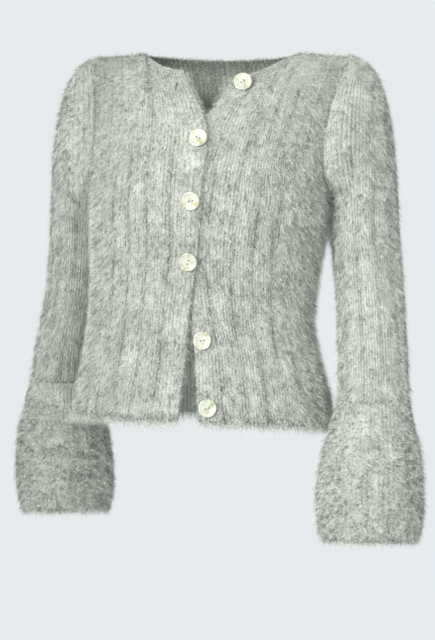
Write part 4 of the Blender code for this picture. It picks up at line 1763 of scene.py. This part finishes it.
@dataclass(frozen=True)
class Button:
    """A turned shell button with a raised rim, a dished face and two thread holes."""

    number: int
    side: Side
    across: float
    z: float
    turn: float
    lean: float
    body: BodyForm = BodyForm()
    lean_lift: float = 0.74
    radius: float = 0.0115
    thick: float = 0.0030
    round_edge: float = 0.0007
    rim: float = 0.0022
    dish: float = 0.0009
    sides: int = 64
    hole_radius: float = 0.0010
    hole_spacing: float = 0.0042
    hole_sides: int = 16
    thread_radius: float = 0.00022
    shank_radius: float = 0.00085
    shank_depth: float = 0.0008
    shank_reach: float = 0.001
    thread_sink: float = 0.0003
    lip: float = 0.0006
    lip_drop: float = 0.0002
    edge_soft: float = 0.3
    bowl_curve: tuple[float, float] = (0.6, 0.75)
    bowl_foot: float = 1.4
    thread_grip: float = 0.75
    thread_arch: float = 0.45
    thread_apart: float = 1.1
    drill_reach: float = 0.01
    shank_sides: int = 12
    sharp_angle: float = 40.0

    @property
    def name(self) -> str:
        """The name of the part's node."""
        return f"button_{self.number}"

    @property
    def lift(self) -> float:
        """How far a leaning button's middle is lifted off the cloth."""
        return self.lean_lift * self.radius * math.sin(math.radians(self.lean))

    def place(self) -> Matrix:
        """From the button's own axes, with its back at height 0, to where it rests on its front.

        Returns:
            The matrix.
        """
        lift = self.body.knit.button_gap + self.lift
        seat = self.body.seat_frame(self.side, self.across, self.z, lift)
        lean = Matrix.Rotation(math.radians(self.lean), 4, "X")
        return seat @ lean @ Matrix.Rotation(math.radians(self.turn), 4, "Z")

    def turned_blank(self) -> bmesh.types.BMesh:
        """The button's form turned round its axis, with rounded edges.

        Returns:
            The shape.
        """
        edge, bowl = self.radius - self.round_edge, self.radius - self.rim
        soft = self.round_edge * self.edge_soft
        curve_in, curve_down = self.bowl_curve
        outline = (
            (0.0, 0.0),
            (edge, 0.0),
            (self.radius - soft, soft),
            (self.radius, self.round_edge),
            (self.radius, self.thick - self.round_edge),
            (self.radius - soft, self.thick - soft),
            (edge, self.thick),
            (bowl + self.lip, self.thick),
            (bowl, self.thick - self.lip_drop),
            (bowl - self.dish * curve_in, self.thick - self.dish * curve_down),
            (bowl - self.dish * self.bowl_foot, self.thick - self.dish),
            (0.0, self.thick - self.dish),
        )
        bm = bmesh.new()
        corners = [bm.verts.new((radius, 0.0, height)) for radius, height in outline]
        edges = [bm.edges.new(pair) for pair in zip(corners, corners[1:])]
        axis = {"cent": ORIGIN, "axis": (0, 0, 1), "angle": TURN, "steps": self.sides}
        bmesh.ops.spin(bm, geom=corners + edges, use_merge=True, **axis)
        bmesh.ops.remove_doubles(bm, verts=bm.verts, dist=MERGE)
        bmesh.ops.recalc_face_normals(bm, faces=bm.faces)
        return bm

    def rods(self, radius: float, low: float, top: float, segments: int) -> bmesh.types.BMesh:
        """Two upright rods in the places of the thread holes.

        Args:
            radius: Their radius.
            low: Height of their lower ends.
            top: Height of their upper ends.
            segments: How many sides each has.

        Returns:
            The rods.
        """
        bm = bmesh.new()
        rod = {"segments": segments, "radius1": radius, "radius2": radius, "depth": top - low}
        for sign in (-1, 1):
            made = bmesh.ops.create_cone(bm, cap_ends=True, **rod)
            middle = (sign * self.hole_spacing / 2, 0, (top + low) / 2)
            bmesh.ops.translate(bm, verts=made["verts"], vec=middle)
        return bm

    def build(self, material: Material, hole_shadow: Material) -> bpy.types.Object:
        """The drilled button in its place.

        Args:
            material: Its finish.
            hole_shadow: Finish of the walls of its holes, a near black painted shadow.

        Returns:
            The button.
        """
        blank = add_object("blank", self.turned_blank(), material)
        # painted shadow: the holes' walls take the near black finish from the drill
        blank.data.materials.append(hole_shadow)
        rods = self.rods(self.hole_radius, -self.drill_reach, self.drill_reach, self.hole_sides)
        drill = add_object("drill", rods, hole_shadow)
        cut = blank.modifiers.new("holes", "BOOLEAN")
        cut.operation, cut.solver, cut.object = "DIFFERENCE", "EXACT", drill
        bpy.context.view_layer.update()
        mesh = bpy.data.meshes.new_from_object(blank.evaluated_get(bpy.context.evaluated_depsgraph_get()))
        for rough in (blank, drill):
            bpy.data.objects.remove(rough)
        mesh.name = self.name + "_turned"
        mesh.transform(self.place())
        mesh.set_sharp_from_angle(angle=math.radians(self.sharp_angle))
        return link(self.name + "_turned", mesh)

    def build_thread(self, material: Material) -> bpy.types.Object:
        """Two strands of thread from hole to hole, sunk into the dish.

        Args:
            material: Its finish.

        Returns:
            The thread.
        """
        bm = bmesh.new()
        half = self.hole_spacing / 2 - self.hole_radius * self.thread_grip
        for aside in (-1, 1):
            ring = bmesh.ops.create_circle(bm, segments=8, radius=self.thread_radius)["verts"]
            bmesh.ops.translate(bm, verts=ring, vec=(half, 0, 0))
            edges = list({edge for vert in ring for edge in vert.link_edges})
            arc = {"cent": ORIGIN, "axis": (0, -1, 0), "angle": math.pi, "steps": 12}
            bmesh.ops.spin(bm, geom=ring + edges, **arc)
            strand = [vert for vert in bm.verts if not vert.tag]
            bmesh.ops.scale(bm, verts=strand, vec=(1.0, 1.0, self.thread_arch))
            beside = aside * self.thread_radius * self.thread_apart
            bmesh.ops.translate(bm, verts=strand, vec=(0, beside, 0))
            for vert in strand:
                vert.tag = True
        bmesh.ops.translate(bm, verts=bm.verts, vec=(0, 0, self.thick - self.dish - self.thread_sink))
        bmesh.ops.recalc_face_normals(bm, faces=bm.faces)
        bmesh.ops.transform(bm, matrix=self.place(), verts=bm.verts)
        return add_object(self.name + "_thread", bm, material)

    def build_shank(self, material: Material) -> bpy.types.Object:
        """The thread that runs down through the two holes into the cloth, in the near black of a painted
        shadow.

        Args:
            material: Its finish.

        Returns:
            The thread.
        """
        top = self.thick - self.dish - self.shank_depth
        low = -self.lift - self.body.knit.button_gap - self.shank_reach
        bm = self.rods(self.shank_radius, low, top, self.shank_sides)
        bmesh.ops.transform(bm, matrix=self.place(), verts=bm.verts)
        return add_object(self.name + "_shank", bm, material)

    def dress(self, shell: Material, hole_shadow: Material, thread: Material) -> None:
        """Builds the button and its thread, which stand for the part's node.

        Args:
            shell: Finish of the button.
            hole_shadow: Finish of its holes and of the thread down them, a near black painted shadow.
            thread: Finish of its thread.
        """
        made = self.build(shell, hole_shadow)
        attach(made, BODY)
        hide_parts(self.name)
        for strands in (self.build_thread(thread), self.build_shank(hole_shadow)):
            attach(strands, BODY)
        log.info("%s: turned shell and thread", self.name)


@dataclass(frozen=True)
class Buttonhole:
    """A worked buttonhole: an upright slit with an overcast edge."""

    number: int
    side: Side
    across: float
    z: float
    body: BodyForm = BodyForm()
    length: float = 0.0150
    breadth: float = 0.0034
    cord: float = 0.0007
    sink: float = 0.0004
    bend: float = 0.0006
    slit_flat: float = 0.2

    def build(self, thread: Material, painted_shadow_finish: Material) -> list[bpy.types.Object]:
        """The overcast edge, and a flat near black piece inside it that paints the shadow in the slit.

        Args:
            thread: Finish of the edge.
            painted_shadow_finish: Finish of the slit's painted shadow.

        Returns:
            The two pieces.
        """
        place = self.body.seat_frame(self.side, self.across, self.z, -self.sink)
        edge = bmesh.new()
        ring = bmesh.ops.create_circle(edge, segments=8, radius=self.cord)["verts"]
        bmesh.ops.rotate(edge, verts=ring, cent=ORIGIN, matrix=Matrix.Rotation(QUARTER, 3, "X"))
        bmesh.ops.translate(edge, verts=ring, vec=(self.breadth / 2, 0, 0))
        axis = {"cent": ORIGIN, "axis": (0, 0, 1), "angle": TURN, "steps": 48}
        bmesh.ops.spin(edge, geom=ring + list(edge.edges), use_merge=True, **axis)
        bmesh.ops.remove_doubles(edge, verts=edge.verts, dist=MERGE)
        bmesh.ops.recalc_face_normals(edge, faces=edge.faces)
        # painted shadow: a flat near black piece fills the slit
        slit = bmesh.new()
        bmesh.ops.create_uvsphere(slit, u_segments=24, v_segments=8, radius=self.breadth / 2)
        bmesh.ops.scale(slit, verts=slit.verts, vec=(1.0, 1.0, self.slit_flat))
        for bm in (edge, slit):
            for vert in bm.verts:
                reach = (self.length - self.breadth) / 2 * min(1.0, abs(vert.co.y) / self.bend)
                vert.co.y += math.copysign(reach, vert.co.y)
            bmesh.ops.transform(bm, matrix=place, verts=bm.verts)
        name = f"buttonhole_{self.number}"
        return [add_object(name + "_edge", edge, thread), add_object(name + "_slit", slit, painted_shadow_finish)]

    def dress(self, thread: Material, painted_shadow_finish: Material) -> None:
        """Builds the buttonhole on its front.

        Args:
            thread: Finish of the edge.
            painted_shadow_finish: Finish of the slit's painted shadow.
        """
        for piece in self.build(thread, painted_shadow_finish):
            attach(piece, BODY)
        log.info("buttonhole %d", self.number)


@dataclass(frozen=True)
class Studio:
    """Pale floor, soft light and the camera at the photograph's viewing angle."""

    floor_z: float = -1.40
    floor_radius: float = 2.6
    floor_thick: float = 0.02
    azimuth: float = 12.0
    distance: float = 3.0
    view_height: float = 0.832
    centre_z: float = -0.346
    centre_right: float = -0.0085
    sensor: float = 36.0
    sky: Colour = (0.79, 0.83, 0.85, 1.0)
    tone: str = "Standard"
    sky_strength: float = 1.0
    aim_z: float = -0.3
    lights: SizeTable = SizeTable(
        ("x", "y", "z", "size", "power", "spread", "aim_x"),
        (
            (-0.90, -2.45, 0.50, 0.7, 3.6, 36.0, 0.26),
            (1.90, -2.20, 0.20, 2.0, 11.0, 180.0, 0.0),
            (0.40, 2.40, 1.20, 1.8, 10.0, 180.0, 0.0),
        ),
    )

    def build_floor(self, material: Material) -> None:
        """A thin round pale floor.

        Args:
            material: Its finish.
        """
        bm = bmesh.new()
        bmesh.ops.create_circle(bm, cap_ends=True, segments=96, radius=self.floor_radius)
        made = bmesh.ops.extrude_face_region(bm, geom=list(bm.faces))["geom"]
        top = [item for item in made if isinstance(item, bmesh.types.BMVert)]
        bmesh.ops.translate(bm, verts=top, vec=(0, 0, self.floor_thick))
        bmesh.ops.translate(bm, verts=bm.verts, vec=(0, 0, self.floor_z - self.floor_thick))
        bmesh.ops.recalc_face_normals(bm, faces=bm.faces)
        add_object("floor", bm, material, smooth=False)

    def light(self) -> None:
        """Soft lights and an even pale surround."""
        world = bpy.data.worlds.new("studio")
        world.use_nodes = True
        surround = world.node_tree.nodes["Background"]
        surround.inputs["Color"].default_value = self.sky
        surround.inputs["Strength"].default_value = self.sky_strength
        bpy.context.scene.world = world
        bpy.context.scene.view_settings.view_transform = self.tone
        for number, (x, y, z, size, power, spread, aim_x) in enumerate(self.lights.rows, 1):
            lamp = bpy.data.lights.new(f"soft_light_{number}", "AREA")
            lamp.shape, lamp.size, lamp.energy, lamp.spread = "DISK", size, power, math.radians(spread)
            made = link(lamp.name, lamp)
            made.location = (x, y, z)
            target = Vector((aim_x, 0, self.aim_z))
            made.rotation_euler = (target - made.location).to_track_quat("-Z", "Y").to_euler()

    def aim(self) -> None:
        """The camera, level and a little to the garment's left."""
        turn = math.radians(self.azimuth)
        right = Vector((math.cos(turn), math.sin(turn), 0.0))
        back = Vector((math.sin(turn), -math.cos(turn), 0.0))
        lens = bpy.data.cameras.new("camera")
        lens.sensor_fit, lens.sensor_height = "VERTICAL", self.sensor
        lens.lens = self.sensor * self.distance / self.view_height
        lens.dof.use_dof = False
        made = link("camera", lens)
        made.location = right * self.centre_right + back * self.distance + Vector((0, 0, self.centre_z))
        made.rotation_euler = (QUARTER, 0.0, turn)
        bpy.context.scene.camera = made

    def build(self, floor: Material) -> None:
        """The whole studio.

        Args:
            floor: Finish of the floor.
        """
        self.build_floor(floor)
        self.light()
        self.aim()
        log.info("studio: floor, %d lights and camera", len(self.lights.rows))


@dataclass
class Cardigan:
    """The whole garment: its pieces, buttons and buttonholes, with their finishes."""

    body: BodyForm = field(default_factory=BodyForm)
    front_nap: Nap = Nap(72000, side_fibres=4000, edge_fibres=4500, edge_short=0.010, edge_long=0.022)
    back_nap: Nap = Nap(
        76000,
        side_fibres=4000,
        edge_fibres=6000,
        edge_short=0.010,
        edge_long=0.022,
        inner_fibres=12000,
    )
    sleeve_nap: Nap = Nap(74000, side_fibres=3000, edge_fibres=3500, edge_short=0.006, edge_long=0.012)
    cuff_nap: Nap = Nap(
        60000,
        short=0.0045,
        long=0.0090,
        width=0.00040,
        lift=0.78,
        swirl=1.40,
        guard_share=0.16,
        guard_short=0.0085,
        guard_long=0.0140,
        guard_width=0.00028,
        edge_fibres=5000,
        lock=(0.0028, 0.0034),
        wale_shade=0.0,
        groove_painted_shade=0.05,
    )
    front_cut: tuple[float, float] = (0.245, 0.500)
    front_area: float = 0.100
    back_cut: tuple[float, float] = (0.440, 0.500)
    back_area: float = 0.190
    sleeve_cut: tuple[float, float] = (0.330, 0.480)
    sleeve_area: float = 0.125
    cuff_cut: tuple[float, float] = (0.360, 0.175)
    cuff_area: float = 0.060
    back_ribs: int = 15
    front_ribs: int = 8
    sleeve_ribs: int = 11
    cuff_waves: int = 12
    hem_level: float = 0.018
    neck_share: float = 0.15
    neck_length: float = 0.45
    cuff_end_level: float = 0.965
    cuff_edge_share: float = 0.62
    cuff_inset: float = 0.0018
    left_cuff_z: tuple[float, float] = (-0.4500, -0.6230)
    right_cuff_z: tuple[float, float] = (-0.4300, -0.6030)
    fold_columns: tuple[str, ...] = ("x", "z", "length", "width", "tilt", "depth")
    left_folds: Rows = (
        (0.095, -0.290, 0.060, 0.0070, 22.0, 0.0018),
        (0.114, -0.268, 0.050, 0.0070, 25.0, 0.0020),
        (0.085, -0.335, 0.050, 0.0070, 18.0, 0.0015),
        (0.112, -0.345, 0.045, 0.0080, 24.0, 0.0017),
        (0.108, -0.140, 0.040, 0.0080, -30.0, 0.0015),
        (0.060, -0.225, 0.050, 0.0090, 8.0, -0.0012),
    )
    right_folds: Rows = (
        (-0.142, -0.285, 0.060, 0.0080, -16.0, 0.0016),
        (-0.116, -0.318, 0.050, 0.0080, -12.0, 0.0014),
        (-0.092, -0.245, 0.050, 0.0080, -8.0, 0.0011),
        (-0.125, -0.140, 0.040, 0.0080, 30.0, 0.0015),
        (-0.070, -0.360, 0.050, 0.0090, -5.0, -0.0013),
    )
    back_folds: Rows = (
        (0.080, -0.280, 0.060, 0.0100, 14.0, 0.0018),
        (-0.020, -0.330, 0.050, 0.0100, -6.0, 0.0014),
        (-0.100, -0.270, 0.060, 0.0100, -16.0, 0.0018),
        (0.040, -0.150, 0.050, 0.0100, 22.0, 0.0013),
        (-0.070, -0.140, 0.050, 0.0100, -24.0, 0.0013),
        (0.110, -0.340, 0.050, 0.0090, 20.0, 0.0015),
    )
    arm_columns: tuple[str, ...] = ("z", "x", "y", "half_width", "half_depth")
    left_rings: Rows = (
        (-0.640, 0.2030, -0.082, 0.0370, 0.0400),
        (-0.560, 0.2015, -0.070, 0.0380, 0.0410),
        (-0.480, 0.2015, -0.050, 0.0395, 0.0425),
        (-0.420, 0.1995, -0.026, 0.0395, 0.0440),
        (-0.340, 0.1920, 0.004, 0.0390, 0.0445),
        (-0.270, 0.1850, 0.020, 0.0390, 0.0465),
        (-0.225, 0.1810, 0.024, 0.0390, 0.0490),
        (-0.180, 0.1790, 0.022, 0.0395, 0.0520),
    )
    right_rings: Rows = (
        (-0.620, -0.2265, 0.050, 0.0335, 0.0385),
        (-0.570, -0.2305, 0.058, 0.0350, 0.0395),
        (-0.520, -0.2340, 0.065, 0.0360, 0.0405),
        (-0.455, -0.2365, 0.071, 0.0385, 0.0425),
        (-0.375, -0.2285, 0.070, 0.0385, 0.0440),
        (-0.320, -0.2170, 0.068, 0.0380, 0.0450),
        (-0.270, -0.2100, 0.062, 0.0375, 0.0465),
        (-0.225, -0.2050, 0.055, 0.0375, 0.0490),
        (-0.180, -0.2010, 0.045, 0.0380, 0.0520),
    )
    buttons: tuple[tuple[Side, float, float, float, float], ...] = (
        (Side.LEFT, 0.0455, -0.0500, 32.0, 22.0),
        (Side.RIGHT, 0.0030, -0.1215, -20.0, 0.0),
        (Side.RIGHT, 0.0015, -0.1970, 8.0, 0.0),
        (Side.RIGHT, 0.0020, -0.2715, 70.0, 0.0),
        (Side.LEFT, 0.0235, -0.3725, 5.0, 0.0),
        (Side.LEFT, 0.0290, -0.4575, 15.0, 0.0),
    )
    buttonholes: Rows = (
        (-0.0400, -0.0520, 0.0032),
        (-0.0110, -0.3725, 0.0018),
        (-0.0190, -0.4500, 0.0018),
    )
    threads: tuple[tuple[str, Colour, Colour], ...] = (
        ("button_thread", (0.55, 0.57, 0.48, 1.0), (0.80, 0.81, 0.72, 1.0)),
        ("buttonhole_edge", (0.22, 0.25, 0.21, 1.0), (0.42, 0.45, 0.39, 1.0)),
        # near black painted shadow, for the buttonhole slits, the buttons' holes and the thread down them
        ("painted_shadow", (0.045, 0.050, 0.042, 1.0), (0.090, 0.100, 0.085, 1.0)),
    )

    def arm(self, side: Side) -> ArmForm:
        """The form of one arm.

        Args:
            side: The garment's side.

        Returns:
            The form.
        """
        is_left = side is Side.LEFT
        rings = self.left_rings if is_left else self.right_rings
        cuff_z = self.left_cuff_z if is_left else self.right_cuff_z
        return ArmForm(side, SizeTable(self.arm_columns, rings), *cuff_z, self.body)

    def pieces(self) -> list[KnitPiece]:
        """The knitted pieces, from the back outwards.

        Returns:
            The pieces.
        """
        knit = self.body.knit
        wall = {"wall": knit.wall, "rise": knit.rib_rise}
        neck = {"top_share": self.neck_share, "top_length": self.neck_length}
        on_body = {"body": self.body, "low_level": self.hem_level, **neck}
        front = {"cut": self.front_cut, "cut_area": self.front_area, "nap": self.front_nap}
        sleeve = {"cut": self.sleeve_cut, "cut_area": self.sleeve_area, "nap": self.sleeve_nap}
        cuff = {"cut": self.cuff_cut, "cut_area": self.cuff_area, "nap": self.cuff_nap}
        made: list[KnitPiece] = [
            Back(
                "back",
                self.back_ribs,
                cut=self.back_cut,
                cut_area=self.back_area,
                nap=self.back_nap,
                seed=11,
                folds=SizeTable(self.fold_columns, self.back_folds),
                **on_body,
                **wall,
            )
        ]
        for seed, side in ((21, Side.LEFT), (31, Side.RIGHT)):
            arm = self.arm(side)
            folds = self.left_folds if side is Side.LEFT else self.right_folds
            made.append(
                Front(
                    f"front_{side.value}",
                    self.front_ribs,
                    seed=seed,
                    folds=SizeTable(self.fold_columns, folds),
                    side=side,
                    **front,
                    **on_body,
                    **wall,
                )
            )
            made.append(
                Sleeve(
                    f"sleeve_{side.value}",
                    self.sleeve_ribs,
                    seed=seed + 2,
                    arm=arm,
                    is_tube=True,
                    rows=76,
                    edge_lift=0.55,
                    side_lift=0.40,
                    **sleeve,
                    **wall,
                )
            )
            made.append(
                Cuff(
                    f"cuff_{side.value}",
                    self.cuff_waves,
                    knit.cuff_wall,
                    knit.cuff_rise,
                    seed=seed + 4,
                    arm=arm,
                    slot=Slot.NAP,
                    rests_on=(f"sleeve_{side.value}",),
                    is_tube=True,
                    rows=34,
                    top_level=self.cuff_end_level,
                    top_share=self.cuff_edge_share,
                    inset=self.cuff_inset,
                    **cuff,
                )
            )
        return made

    def dress(self) -> None:
        """Builds and dresses every piece."""
        knit = RibbedKnit("rib_knit").make()
        # groove here sets the painted shade in the cuff's shallow waves
        cuff_knit = RibbedKnit("cuff_knit", wale=0.0060, stitch=0.02, groove=0.03).make()
        nap, cuff_nap = SoftNap("soft_nap").make(), SoftNap("cuff_nap").make()
        shell = PearlShell().make()
        thread, edge, painted_shadow_finish = (TwistedThread(*colours).make() for colours in self.threads)
        for piece in self.pieces():
            is_cuff = piece.slot is Slot.NAP
            piece.dress(cuff_knit if is_cuff else knit, cuff_nap if is_cuff else nap)
        for number, (side, across, z, turn, lean) in enumerate(self.buttons, 1):
            Button(number, side, across, z, turn, lean, self.body).dress(shell, painted_shadow_finish, thread)
        for number, (across, z, breadth) in enumerate(self.buttonholes, 1):
            Buttonhole(number, Side.RIGHT, across, z, self.body, breadth=breadth).dress(edge, painted_shadow_finish)


def main() -> None:
    """Builds the cardigan and its studio."""
    logging.basicConfig(level=logging.INFO, format="%(name)s: %(message)s")
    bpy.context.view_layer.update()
    Studio().build(PalePaper().make())
    Cardigan().dress()
    bpy.context.view_layer.update()
    log.info("sizes written")


if __name__ == "__main__":
    main()
